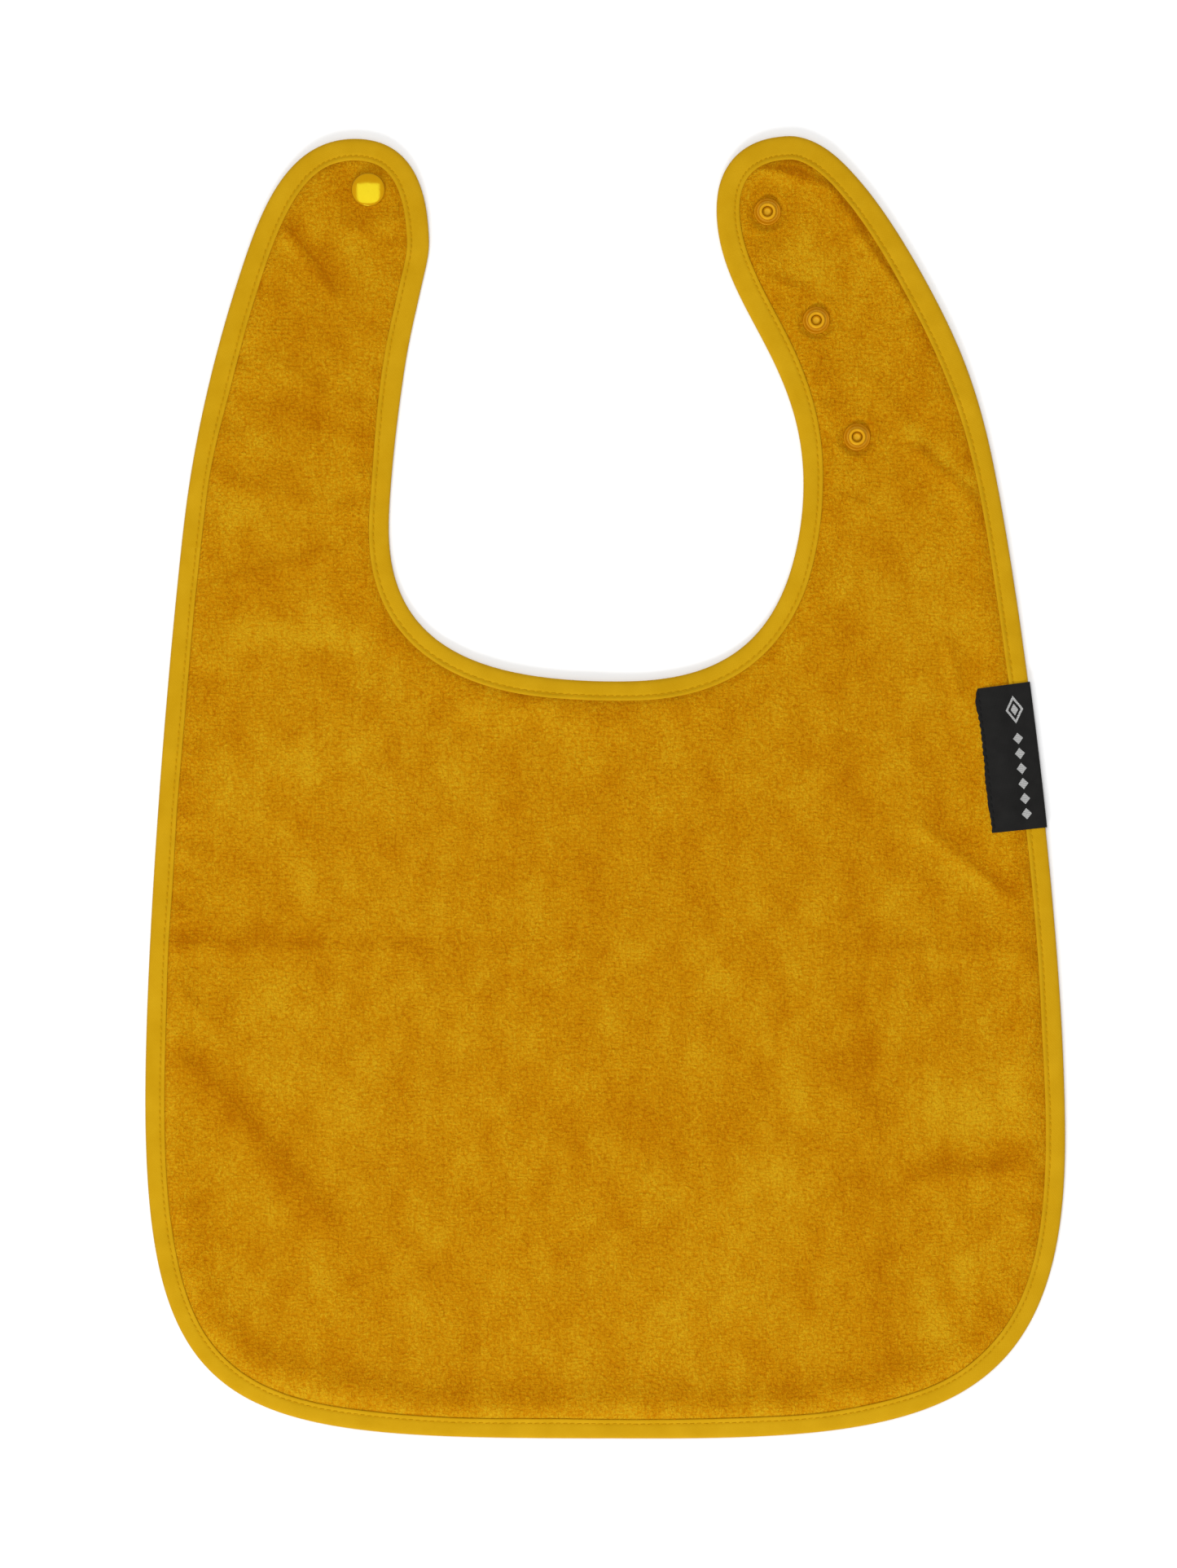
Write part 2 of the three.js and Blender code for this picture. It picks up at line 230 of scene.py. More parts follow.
def width_at(points):
    """The binding's width: it is laid wider round the tabs than round the panel."""
    height = smooth((points[:, 1] - 105) / 60)
    wider = np.where(points[:, 0] > 0, 1.5, 0.9)
    return TAPE_WIDTH + wider * height + 0.12 * ripple(points, 45, seed=11)


tape_width = width_at(loop)
label_low, label_high = box_of("side_label")
label_middle = min(
    (i for i in range(len(loop)) if loop[i, 0] > 100),
    key=lambda i: abs((loop + LABEL_REACH / 2 * inward)[i, 1] - (label_low[1] + label_high[1]) / 2),
)


def stations_between(first, last, step):
    """Places in the loop from index first to last, about step apart."""
    count = max(2, round((last - first) * LOOP_STEP / step))
    return np.round(np.linspace(first, last, count + 1)).astype(int) % len(loop)


crossings = seam_crossings(loop)
SPANS = {
    "hem": (crossings[0], crossings[1]),
    "right_tab": (crossings[1], crossings[2]),
    "neck": (crossings[2], crossings[3]),
    "left_tab": (crossings[3], len(loop)),
}
BODIES = {"hem": "panel", "neck": "panel", "left_tab": "left_tab", "right_tab": "right_tab"}

EDGE_STRIDE = 5
edge_tree = KDTree(len(range(0, len(loop), EDGE_STRIDE)))
for k, i in enumerate(range(0, len(loop), EDGE_STRIDE)):
    edge_tree.insert((*loop[i], 0), k)
edge_tree.balance()


def edge_place(points):
    """The place in the loop nearest to each point, and how far inside the outline it lies."""
    near = np.array([edge_tree.find((x, y, 0))[1] for x, y in points]) * EDGE_STRIDE
    return near, ((points - loop[near]) * inward[near]).sum(1)


# Snap places


def snap_place(front, back, front_level, back_level):
    """Where a snap is and how wide, from its CAD nodes, and where its plates meet the cloth."""
    low, high = box_of(front)
    back_low, back_high = box_of(back)
    return SimpleNamespace(
        centre=(low[:2] + high[:2]) / 2,
        front_radius=(high[0] - low[0]) / 2,
        back_radius=(back_high[0] - back_low[0]) / 2,
        front_level=front_level,
        back_level=back_level,
    )


cap_top = box_of("front_snap_cap")[1][2]
socket_top = box_of("back_snap_socket")[1][2]
left_snap = snap_place("front_snap_cap", "back_snap_socket", cap_top - CAP_HEIGHT, socket_top)
right_snaps = [
    snap_place(f"snap_stud_{k}", f"back_snap_cap_{k}", box_of(f"snap_stud_{k}")[0][2], CAP_HEIGHT)
    for k in (1, 2, 3)
]
SNAPS = [left_snap, *right_snaps]
PRESSED = left_snap.front_level - left_snap.back_level


def snap_distance(points):
    """How far each point is from the middle of the nearest snap."""
    return np.min([np.linalg.norm(points - s.centre, axis=1) for s in SNAPS], axis=0)


# How the cloth lies

# Ridges of cloth: start, end, half width, height. Each is steep on its left, from start to end.
CREASES = [
    ((116, 124), (141, 101), 3.0, 1.1),  # beside the lowest stud, out to the binding
    ((99, 150), (117, 124), 5.0, 0.45),
    ((116, -14), (151, -42), 3.4, 0.8),  # below the label
    ((127, 52), (131, 33), 2.6, 0.8),  # above the label
    ((-157, -58), (-70, -60), 4.5, 0.28),  # where the bib was folded for packing
    ((100, -60), (157, -60), 4.5, 0.32),
    ((84, 52), (97, -120), 7, 0.25),
    ((97, -120), (101, -212), 7, 0.3),
    ((-151, -104), (-103, -158), 8, 0.7),  # low on the left
    ((120, -143), (156, -140), 6, 0.7),  # low on the right
    ((-160, -70), (-146, -86), 3, 0.6),
    ((-118, 206), (-100, 181), 3.0, 0.9),  # left tab
    ((-128, 160), (-104, 145), 5, 0.4),
    ((-140, 112), (-100, 104), 5, 0.3),
    ((-146, 74), (-101, 86), 5, 0.5),
    ((-103, 227), (-95, 231), 1.3, 0.6),  # round the cap of the left tab
    ((-96, 232), (-82, 233), 1.2, 0.6),
    ((-79, 229), (-75, 220), 1.2, 0.7),
    ((-76, 213), (-80, 205), 1.4, 0.6),
    ((-97, 207), (-86, 203), 1.5, 0.5),
    ((94, 203), (112, 180), 2.4, 1.0),  # right tab, along the outer binding
    ((56, 229), (84, 221), 2.0, 1.0),
    ((84, 221), (95, 204), 2.0, 0.7),
    ((53, 190), (74, 183), 2.4, 0.6),
    ((50, 207), (58, 204), 1.6, 0.5),
    ((58, 168), (70, 160), 2.2, 0.5),
    ((66, 148), (80, 140), 2.2, 0.5),
    ((104, 168), (120, 140), 4.5, 0.4),
    ((80, 110), (96, 104), 3, 0.4),
]
CREASE_STEEPNESS = 2.2

WAVE_HEIGHT = 0.9
PUCKER_HEIGHT = 0.8


def sketched_waves(points, inset, foot):
    """Soft waves, with gathers beside the binding. foot is the nearest point of the outline."""
    waves = WAVE_HEIGHT * (0.5 + 0.32 * ripple(points, 85, seed=3) + 0.12 * ripple(points, 34, seed=5))
    gathers = 0.5 + 0.45 * ripple(foot, 12, seed=8, count=8)
    puckers = PUCKER_HEIGHT * gathers * np.exp(-(((inset - 10) / 7) ** 2))
    return np.maximum(waves + puckers, 0)


# Settling. The cloth is simulated at ten times its size, where Blender's cloth is steadier.
SETTLE_GRID = 6.0
SETTLE_SCALE = 0.01  # scene units to a millimetre
SETTLE_FRAMES = 45
SETTLE_SLACK = 0.004  # how much longer the cloth is than its binding
SETTLE_TOP = 1.6  # its highest waves, after settling


def settling_cloth(flat, height, faces, held):
    """A cloth object over a floor, held where held is true."""
    mesh = bpy.data.meshes.new("settling")
    mesh.from_pydata((np.column_stack([flat, height]) * SETTLE_SCALE).tolist(), [], faces)
    cloth = bpy.data.objects.new("settling", mesh)
    bpy.context.scene.collection.objects.link(cloth)
    cloth.vertex_groups.new(name="held").add(np.flatnonzero(held).tolist(), 1.0, "REPLACE")
    modifier = cloth.modifiers.new("settling", "CLOTH")
    modifier.point_cache.frame_end = SETTLE_FRAMES
    modifier.collision_settings.distance_min = 0.01
    settings = modifier.settings
    settings.quality = 6
    settings.mass = 0.4
    settings.tension_stiffness = settings.compression_stiffness = 25
    settings.shear_stiffness = 12
    settings.bending_stiffness = 4
    settings.air_damping = 3
    settings.vertex_group_mass = "held"
    settings.shrink_min = settings.shrink_max = -SETTLE_SLACK
    floor_mesh = bpy.data.meshes.new("settling_floor")
    floor_mesh.from_pydata(square(4, -0.012), [], [[0, 1, 2, 3]])
    floor = bpy.data.objects.new("settling_floor", floor_mesh)
    bpy.context.scene.collection.objects.link(floor)
    floor.modifiers.new("collision", "COLLISION")
    floor.collision.thickness_outer = 0.001
    return cloth, floor


def settled_waves():
    """The heights of a grid of cloth let down inside its tighter binding, and the grid's corner."""
    low = loop.min(0) - 2 * SETTLE_GRID
    columns, rows = np.ceil((loop.max(0) - low) / SETTLE_GRID).astype(int) + 3
    row, column = np.divmod(np.arange(rows * columns), columns)
    flat = low + SETTLE_GRID * np.column_stack([column, row])
    near, inset = edge_place(flat)
    inside = inset > 1
    corner = (row[:, None] < rows - 1).ravel() & (column < columns - 1)
    first = np.flatnonzero(corner)
    quads = np.column_stack([first, first + 1, first + columns + 1, first + columns])
    quads = quads[inside[quads].all(1)]
    used = np.unique(quads)
    index = np.full(len(flat), -1)
    index[used] = np.arange(len(used))
    held = (inset < tape_width[near] + 2.5) | (snap_distance(flat) < 9)
    start = np.where(held, 0, sketched_waves(flat, inset, loop[near]))
    cloth, floor = settling_cloth(flat[used], start[used], index[quads].tolist(), held[used])
    scene = bpy.context.scene
    for number in range(1, SETTLE_FRAMES + 1):
        scene.frame_set(number)
    settled = cloth.evaluated_get(bpy.context.evaluated_depsgraph_get()).to_mesh()
    height = np.zeros(len(flat))
    height[used] = [vertex.co.z / SETTLE_SCALE for vertex in settled.vertices]
    for helper in (cloth, floor):
        data = helper.data
        bpy.data.objects.remove(helper)
        bpy.data.meshes.remove(data)
    scene.frame_set(1)
    height = np.maximum(height, 0)
    height *= SETTLE_TOP / np.percentile(height[used], 98)
    return np.minimum(height, 1.3 * SETTLE_TOP).reshape(rows, columns), low


def sample(grid, corner, points):
    """A smooth surface through a grid of heights, by cubic B-splines."""
    spot = (points - corner) / SETTLE_GRID
    cell = np.floor(spot).astype(int)
    t = spot - cell
    inner = [(3 * t**3 - 6 * t**2 + 4) / 6, (-3 * t**3 + 3 * t**2 + 3 * t + 1) / 6]
    weights = np.stack([(1 - t) ** 3 / 6, *inner, t**3 / 6])
    total = np.zeros(len(points))
    for i in range(4):
        for k in range(4):
            x = np.clip(cell[:, 0] + i - 1, 0, grid.shape[1] - 1)
            y = np.clip(cell[:, 1] + k - 1, 0, grid.shape[0] - 1)
            total += weights[i, :, 0] * weights[k, :, 1] * grid[y, x]
    return total


SETTLED = settled_waves()


def lift(points, inset, foot):
    """How far the cloth rises above its flat place. foot is the nearest point of the outline."""
    away = snap_distance(points)
    if SETTLED is None:
        loose = sketched_waves(points, inset, foot)
    else:
        loose = sample(*SETTLED, points) + 0.45 * sketched_waves(points, inset, foot)
    creases = sum(
        height * stroke(points, a, b, width, CREASE_STEEPNESS) for a, b, width, height in CREASES
    )
    inside = smooth((inset - TAPE_WIDTH - 1) / 4)
    return loose * smooth((away - 7) / 9) + creases * smooth((away - 7.2) / 3) * inside


def towel_thickness(points, near, inset):
    """The towelling and its pile: pressed thin at the rim, the snaps and the label's seam."""
    beside_tape = np.maximum(inset - tape_width[near], 0)
    swell = 1 - np.exp(-beside_tape / 1.5)
    thick = (RIM_TOP - TOWEL_BOTTOM) + (PILE_TOP - RIM_TOP) * swell - 0.04 * (beside_tape == 0)
    for snap in SNAPS:
        away = np.linalg.norm(points - snap.centre, axis=1)
        open_share = smooth((away - snap.front_radius - SEAT_MARGIN) / 2.6)
        thick = mix(PRESSED - BACKING_THICKNESS, thick, open_share)
    from_middle = np.abs(near - label_middle) * LOOP_STEP
    under = smooth((LABEL_HEIGHT / 2 + 0.5 - from_middle) / 1.5)
    seam = np.exp(-(((inset - LABEL_SEAM) / 1.4) ** 2))
    return thick - 0.55 * under * seam


def backing_level(points):
    """The underside of the backing, raised where it is clamped on the back piece of a snap."""
    level = np.full(len(points), BACKING_BOTTOM)
    for snap in SNAPS:
        away = np.linalg.norm(points - snap.centre, axis=1)
        level = mix(snap.back_level, level, smooth((away - snap.back_radius - SEAT_MARGIN) / 3.8))
    return level


# Making meshes


def make_piece(name, vertices, faces, material, flat_faces=None, **fields):
    """A mesh object from vertices in millimetres. Each field is a vector of the mesh's points."""
    mesh = bpy.data.meshes.new(name)
    mesh.from_pydata((np.asarray(vertices) * MM).tolist(), [], faces)
    smooth_face = np.ones(len(mesh.polygons), bool)
    if flat_faces is not None:
        smooth_face[flat_faces] = False
    mesh.polygons.foreach_set("use_smooth", smooth_face)
    for field, values in fields.items():
        layer = mesh.attributes.new(field, "FLOAT_VECTOR", "POINT")
        layer.data.foreach_set("vector", np.asarray(values, np.float32).ravel())
    mesh.materials.append(material)
    piece = bpy.data.objects.new(name, mesh)
    bpy.context.scene.collection.objects.link(piece)
    return piece


def shade_smooth(piece, vertex_normals, flat_from):
    """Gives the mesh these vertex normals, except on its faces from number flat_from on."""
    mesh = piece.data
    corners = np.empty(len(mesh.loops), int)
    mesh.loops.foreach_get("vertex_index", corners)
    normals = vertex_normals[corners]
    normals[mesh.polygons[flat_from].loop_start :] = 0
    mesh.normals_split_custom_set(normals.tolist())


def face_outwards(piece):
    """Turns the faces of a closed mesh outwards."""
    work = bmesh.new()
    work.from_mesh(piece.data)
    bmesh.ops.recalc_face_normals(work, faces=work.faces)
    work.to_mesh(piece.data)
    work.free()


def seam_side(places):
    """How far each place lies above the seams between the panel and the tabs."""
    ends = sorted(map(tuple, loop[crossings] + CLOTH_INSET * inward[crossings]))
    return places[:, 1] - np.interp(places[:, 0], *zip(*ends))


def clear(places, snap_gap, seam_gap):
    """Those of the places that are further than this from the snaps and the seams."""
    return places[(snap_distance(places) > snap_gap) & (np.abs(seam_side(places)) > seam_gap)]


def grid_points(grid, tape_gap, snap_gap):
    """A lattice of even triangles over the cloth, clear of the binding, the seams and the snaps."""
    low, high = loop.min(0), loop.max(0)
    row_gap = grid * math.sqrt(3) / 2
    size = np.ceil((high - low) / (grid, row_gap)).astype(int)
    row, column = np.divmod(np.arange(size.prod()), size[0])
    x = low[0] + (row % 2) * grid / 2 + column * grid
    lattice = clear(np.column_stack([x, low[1] + row * row_gap]), snap_gap, 0.6 * grid)
    near, inset = edge_place(lattice)
    return lattice[inset > tape_gap + tape_width[near]]


def cloth_parts(flat, group, triangles):
    """The upward triangles of the panel and each tab, without those outside or in a hole."""
    least = group[triangles].min(1)
    triangles = triangles[(least == 0) | (least != group[triangles].max(1))]
    a, b, c = (flat[triangles[:, k]] for k in range(3))
    upside_down = np.cross(b - a, c - a) < 0
    triangles[upside_down] = triangles[upside_down][:, ::-1]
    middle = (a + b + c) / 3
    tab = seam_side(middle) > 0
    return {
        "panel": triangles[~tab],
        "left_tab": triangles[tab & (middle[:, 0] < 0)],
        "right_tab": triangles[tab & (middle[:, 0] > 0)],
    }


def cloth_plan(grid, ring_step, ring_offsets, snap_rings):
    """The flat cloth as triangles, for the panel and each tab.

    Its points follow the outline, the binding's inner edge and the snaps, with a grid between.
    A point's group is 0 inside the cloth, 1 on its edge and from 2 on round the hole of a post.
    """
    points, constraints, groups = [], [], []
    seam_gap, snap_reach, beside_tape = 0.6, 7.7, ring_offsets[-1][1]

    def add(new, group=0, joined=False, closed=False):
        """Adds points, joined in a line or a closed line, and gives the number of the first."""
        first = len(points)
        points.extend(map(tuple, new))
        groups.extend([group] * len(new))
        if joined or closed:
            constraints.extend((first + k, first + k + 1) for k in range(len(new) - 1))
        if closed:
            constraints.append((first + len(new) - 1, first))
        return first

    ring = np.concatenate([stations_between(*SPANS[s], ring_step)[:-1] for s in SPANS])
    edge = loop[ring] + CLOTH_INSET * inward[ring]
    add(edge, 1, closed=True)
    for k, snap in enumerate(SNAPS):
        add(circle(snap.centre, POST_HOLE, 20), 2 + k, closed=True)
    corner = {i: k for k, i in enumerate(ring)}
    for a, b in ((crossings[0], crossings[3]), (crossings[2], crossings[1])):
        start, end = edge[corner[a]], edge[corner[b]]
        share = np.linspace(0, 1, round(np.linalg.norm(end - start) / grid) + 1)[1:-1, None]
        first = add(mix(start, end, share), joined=True)
        constraints += [(corner[a], first), (len(points) - 1, corner[b])]
    for anchor, offset in ring_offsets:
        at = loop[ring] + (anchor * tape_width[ring] + offset)[:, None] * inward[ring]
        add(clear(at, snap_reach, seam_gap))
    for snap in SNAPS:
        for radius in snap_rings:
            at = clear(circle(snap.centre, radius, round(2 * math.pi * radius / grid) + 8), 0, seam_gap)
            if radius > snap_reach:
                near, inset = edge_place(at)
                at = at[inset > tape_width[near] + beside_tape + 0.4]
            add(at)
    add(grid_points(grid, beside_tape + 0.6 * grid, snap_rings[-1] + 0.8 * grid))

    made = delaunay_2d_cdt([Vector(p) for p in points], constraints, [], 0, 1e-5, True)
    flat = np.array([tuple(v) for v in made[0]])
    group = np.array([max(groups[i] for i in ids) for ids in made[3]])
    parts = cloth_parts(flat, group, np.array([f for f in made[2] if len(f) == 3]))
    near, inset = edge_place(flat)
    return SimpleNamespace(points=flat, parts=parts, near=near, inset=inset)


def plan_normals(plan, level):
    """Upward normals of the plan's points at these levels, over the seams between its parts."""
    triangles = np.concatenate(list(plan.parts.values()))
    solid = np.column_stack([plan.points, level])
    a, b, c = (solid[triangles[:, k]] for k in range(3))
    normal = np.cross(b - a, c - a)
    total = np.zeros((len(solid), 3))
    for k in range(3):
        np.add.at(total, triangles[:, k], normal)
    return total / np.maximum(np.linalg.norm(total, axis=1), 1e-9)[:, None]


def cloth_layer(name, plan, part, bottom, top, material, pile_and_painted_light=None):
    """A closed layer over one part of the plan, between two levels given for each plan point."""
    triangles = plan.parts[part]
    used = np.unique(triangles)
    index = np.full(len(plan.points), -1)
    index[used] = np.arange(len(used))
    count = len(used)
    over = index[triangles]
    under = over[:, ::-1] + count
    edges = np.concatenate([over[:, [0, 1]], over[:, [1, 2]], over[:, [2, 0]]])
    key = np.sort(edges, axis=1)
    _, first, uses = np.unique(key, axis=0, return_index=True, return_counts=True)
    rim = edges[first[uses == 1]]
    walls = np.column_stack([rim[:, 1], rim[:, 0], rim[:, 0] + count, rim[:, 1] + count])
    flat = plan.points[used]
    vertices = np.concatenate(
        [np.column_stack([flat, top[used]]), np.column_stack([flat, bottom[used]])]
    )
    place = np.column_stack([np.tile(flat, (2, 1)), np.repeat([0.0, -1.0], count)])
    # Painted light and shade on the pile, with its patches of pile tone, for each point of the layer.
    shade = np.zeros(count) if pile_and_painted_light is None else pile_and_painted_light[used]
    fields = {"place": place, "pile_and_painted_light": np.tile(np.repeat(shade[:, None], 3, axis=1), (2, 1))}
    faces = over.tolist() + under.tolist() + walls.tolist()
    flat_faces = slice(2 * len(over), None)
    piece = make_piece(name, vertices, faces, material, flat_faces, **fields)
    normals = np.concatenate([plan_normals(plan, top)[used], -plan_normals(plan, bottom)[used]])
    shade_smooth(piece, normals, 2 * len(over))
    area = np.abs(np.cross(*(np.diff(plan.points[triangles], axis=1).transpose(1, 0, 2)))).sum() / 2
    size = np.ptp(flat, axis=0)
    piece_flat = SimpleNamespace(size=size * MM, area=area * MM * MM)
    return piece, piece_flat


def tube_faces(stations, size):
    """The faces of a skin over rings of points, one after another, and those over its two ends."""
    here = np.arange(stations - 1)[:, None] * size + np.arange(size)
    beside = np.roll(here, -1, axis=1)
    sides = np.stack([here, beside, beside + size, here + size], axis=2).reshape(-1, 4)
    return sides, np.stack([np.arange(size)[::-1], np.arange(size) + (stations - 1) * size])


def sweep(name, rings, material, **fields):
    """A closed skin over rings of points."""
    sides, ends = tube_faces(*rings.shape[:2])
    faces = sides.tolist() + ends.tolist()
    piece = make_piece(name, rings.reshape(-1, 3), faces, material, slice(len(sides), None), **fields)
    face_outwards(piece)
    return piece


def many_capsules(name, paths, sideways, radius, material, size=7):
    """One mesh of short threads. paths is (threads, points, 3) and sideways a unit vector each."""
    threads, count = paths.shape[:2]
    turn = np.linspace(0, 2 * math.pi, size, endpoint=False)
    along = np.linspace(-1, 1, count)
    taper = radius * np.sqrt(np.maximum(1 - along**8, 0.12))
    out = np.cos(turn)[:, None] * sideways[:, None, None, :] + np.sin(turn)[:, None] * [0, 0, 1]
    skin = paths[:, :, None, :] + taper[:, None, None] * out
    which = np.arange(threads)[:, None, None]
    sides, ends = (which * count * size + faces for faces in tube_faces(count, size))
    faces = sides.reshape(-1, 4).tolist() + ends.reshape(-1, size).tolist()
    run = along[:, None] * STITCH_LENGTH / 2
    place = np.stack(np.broadcast_arrays(run, turn, which.astype(float)), axis=-1)
    piece = make_piece(name, skin.reshape(-1, 3), faces, material, place=place.reshape(-1, 3))
    face_outwards(piece)
    return piece


# Materials


class Shader:
    """A Principled material and short ways to add the nodes behind it."""

    def __init__(self, name):
        self.material = bpy.data.materials.new(name)
        self.material.use_nodes = True
        self.nodes = self.material.node_tree.nodes
        self.links = self.material.node_tree.links
        self.surface = self.nodes["Principled BSDF"]

    def add(self, kind, settings=(), **inputs):
        """Adds a node with its settings and inputs. _ stands for a space in an input's name."""
        node = self.nodes.new("ShaderNode" + kind)
        for key, value in dict(settings).items():
            setattr(node, key, value)
        for key, value in inputs.items():
            self.put(node.inputs[key.replace("_", " ")], value)
        return node

    def put(self, socket, value):
        """Links a socket to another, or sets its value."""
        if isinstance(value, bpy.types.NodeSocket):
            self.links.new(value, socket)
        else:
            socket.default_value = value

    def set(self, **inputs):
        """Sets inputs of the surface, by name, with _ for a space."""
        for key, value in inputs.items():
            self.put(self.surface.inputs[key.replace("_", " ")], value)

    def math(self, operation, a, b=0.0, clamp=False):
        """The result of an operation on one or two values."""
        node = self.add("Math", {"operation": operation, "use_clamp": clamp})
        self.put(node.inputs[0], a)
        self.put(node.inputs[1], b)
        return node.outputs[0]

    def total(self, base, *parts):
        """A base value and the sum of parts, each a (value, weight) pair."""
        for value, weight in parts:
            base = self.math("ADD", base, self.math("MULTIPLY", value, weight))
        return base

    def field(self, name):
        """A field of the mesh, such as its flat place in millimetres."""
        return self.add("Attribute", {"attribute_name": name}).outputs["Vector"]

    def parts(self, vector):
        """The x, y and z of a vector."""
        split = self.add("SeparateXYZ", Vector=vector)
        return split.outputs[0], split.outputs[1], split.outputs[2]

    def stretched(self, vector, scale, turn=0.0):
        """A vector turned and scaled, to draw out the pattern laid on it."""
        node = self.add("Mapping", Vector=vector, Scale=scale, Rotation=(0, 0, turn))
        return node.outputs[0]

    def noise(self, vector, scale, detail=2.0, roughness=0.5, distortion=0.0):
        """Noise round 0."""
        node = self.add(
            "TexNoise", Vector=vector, Scale=scale, Detail=detail, Roughness=roughness,
            Distortion=distortion,
        )
        return self.math("SUBTRACT", node.outputs[0], 0.5)

    def ramp(self, factor, dark, light, middle=None):
        """From dark at 0 to light at 1, through a middle colour at 0.5 if it has one."""
        node = self.add("ValToRGB", Fac=factor)
        elements = node.color_ramp.elements
        elements[0].color, elements[1].color = (*dark, 1), (*light, 1)
        if middle:
            elements.new(0.5).color = (*middle, 1)
        return node.outputs[0]

    def bump(self, height, distance, strength=1.0):
        """Roughens the surface by a height, over a distance in millimetres."""
        node = self.add("Bump", Height=height, Distance=distance * MM, Strength=strength)
        self.set(Normal=node.outputs[0])


def velour_material():
    """Velour towelling: rows of cut tufts, brushed this way and that, with the painted light and shade
    that the mesh carries.
    """
    s = Shader("velour_towelling")
    place = s.field("place")
    drift = s.add("TexNoise", Vector=place, Scale=0.2, Detail=3.0).outputs["Color"]
    warped = s.add("VectorMath", {"operation": "MULTIPLY_ADD"})
    s.put(warped.inputs[0], drift)
    warped.inputs[1].default_value = (2.6, 2.6, 0)
    s.put(warped.inputs[2], place)
    tufts = s.add(
        "TexVoronoi", {"voronoi_dimensions": "2D"}, Vector=warped.outputs[0],
        Scale=1 / TUFT_PITCH, Randomness=0.75,
    ).outputs["Distance"]
    fuzz = s.noise(place, 2.3, detail=3.0, roughness=0.7)
    rows = s.noise(s.stretched(place, (0.7, 2.1, 1.0), 0.1), 0.6, detail=3.0, roughness=0.65)
    columns = s.noise(s.stretched(place, (2.0, 0.75, 1.0), -0.06), 0.6, detail=3.0, roughness=0.65)
    streaks = s.total(rows, (columns, 0.35))
    curls = s.noise(s.stretched(place, (1.5, 0.85, 1.0), 0.7), 0.72, detail=2.0, distortion=1.4)
    brushed = s.noise(s.stretched(place, (1.0, 0.28, 1.0), 0.05), 0.16, detail=3.0, roughness=0.6)
    blotches = s.noise(s.stretched(place, (1.0, 0.55, 1.0)), 0.05, detail=4.0, roughness=0.65)
    # Painted light and shade from the mesh: lit and shaded slopes, shaded creases and shade round the
    # snaps, with patches of pile tone.
    pile_and_painted_light = s.parts(s.field("pile_and_painted_light"))[0]
    between = s.math("SUBTRACT", 0.42, tufts)
    tufted = s.total(0.5, (streaks, 0.95), (curls, 0.95), (fuzz, 1.2), (between, 0.5))
    shade = s.total(tufted, (pile_and_painted_light, 0.62), (blotches, 0.26), (brushed, 0.5))
    s.set(
        Base_Color=s.ramp(shade, (0.445, 0.14, 0.0), (0.655, 0.365, 0.008), (0.565, 0.236, 0.0016)),
        Roughness=0.92,
        Specular_IOR_Level=0.1,
        Specular_Tint=(1.0, 0.7, 0.1, 1),
        Sheen_Weight=0.07,
        Sheen_Roughness=0.45,
        Sheen_Tint=(1.0, 0.62, 0.05, 1),
    )
    s.bump(s.total(streaks, (between, 0.8), (fuzz, 1.3), (curls, 1.3)), 0.6, 0.9)
    return s.material


def backing_material():
    """A fine knit with a thin waterproof film on it."""
    s = Shader("laminated_backing")
    place = s.field("place")
    across = {"bands_direction": "X"}
    ribs = s.add("TexWave", across, Vector=place, Scale=0.28, Distortion=1.2, Detail=1.0)
    knit = s.math("SUBTRACT", ribs.outputs[1], 0.5)
    mottle = s.noise(place, 0.12, detail=4.0)
    shade = s.total(0.5, (mottle, 0.5), (knit, 0.12))
    s.set(Base_Color=s.ramp(shade, (0.52, 0.29, 0.03), (0.66, 0.40, 0.07)), Roughness=0.42)
    s.bump(s.total(0.0, (knit, 0.4), (mottle, 1.5)), 0.12, 0.6)
    return s.material


def binding_material():
    """A fine, closely woven cotton tape cut on the bias, so its threads run at 45 degrees."""
    s = Shader("binding_tape")
    place = s.field("place")
    warp = s.add("TexWave", {"bands_direction": "DIAGONAL"}, Vector=place, Scale=0.62, Distortion=0.6)
    crossed = s.stretched(place, (1, -1, 1))
    weft = s.add("TexWave", {"bands_direction": "DIAGONAL"}, Vector=crossed, Scale=0.62, Distortion=0.6)
    weave = s.math("SUBTRACT", s.math("MULTIPLY", warp.outputs[1], weft.outputs[1]), 0.3)
    grain = s.noise(place, 1.5, detail=3.0, roughness=0.65)
    mottle = s.noise(place, 0.11, detail=3.0)
    shade = s.total(0.5, (weave, 0.07), (grain, 0.36), (mottle, 0.75))
    s.set(
        Base_Color=s.ramp(shade, (0.402, 0.206, 0.001), (0.53, 0.305, 0.008)),
        Roughness=0.8,
        Specular_IOR_Level=0.15,
        Specular_Tint=(1.0, 0.75, 0.1, 1),
        Sheen_Weight=0.04,
        Sheen_Roughness=0.5,
        Sheen_Tint=(1.0, 0.75, 0.1, 1),
    )
    s.bump(s.total(0.0, (weave, 0.4), (grain, 0.8)), 0.12, 0.6)
    return s.material


def thread_material(name, dark, light):
    """Sewing thread of two twisted plies."""
    s = Shader(name)
    along, round_it, which = s.parts(s.field("place"))
    plies = s.math("SINE", s.total(0.0, (along, 9.0), (round_it, 2.0)))
    each = s.noise(s.add("CombineXYZ", X=which, Y=along, Z=round_it).outputs[0], 0.7)
    s.set(
        Base_Color=s.ramp(s.total(0.5, (plies, 0.2), (each, 0.9)), dark, light),
        Roughness=0.6,
        Specular_IOR_Level=0.15,
        Specular_Tint=(*[min(1, 2 * c) for c in light], 1),
    )
    s.bump(plies, 0.06, 0.8)
    return s.material


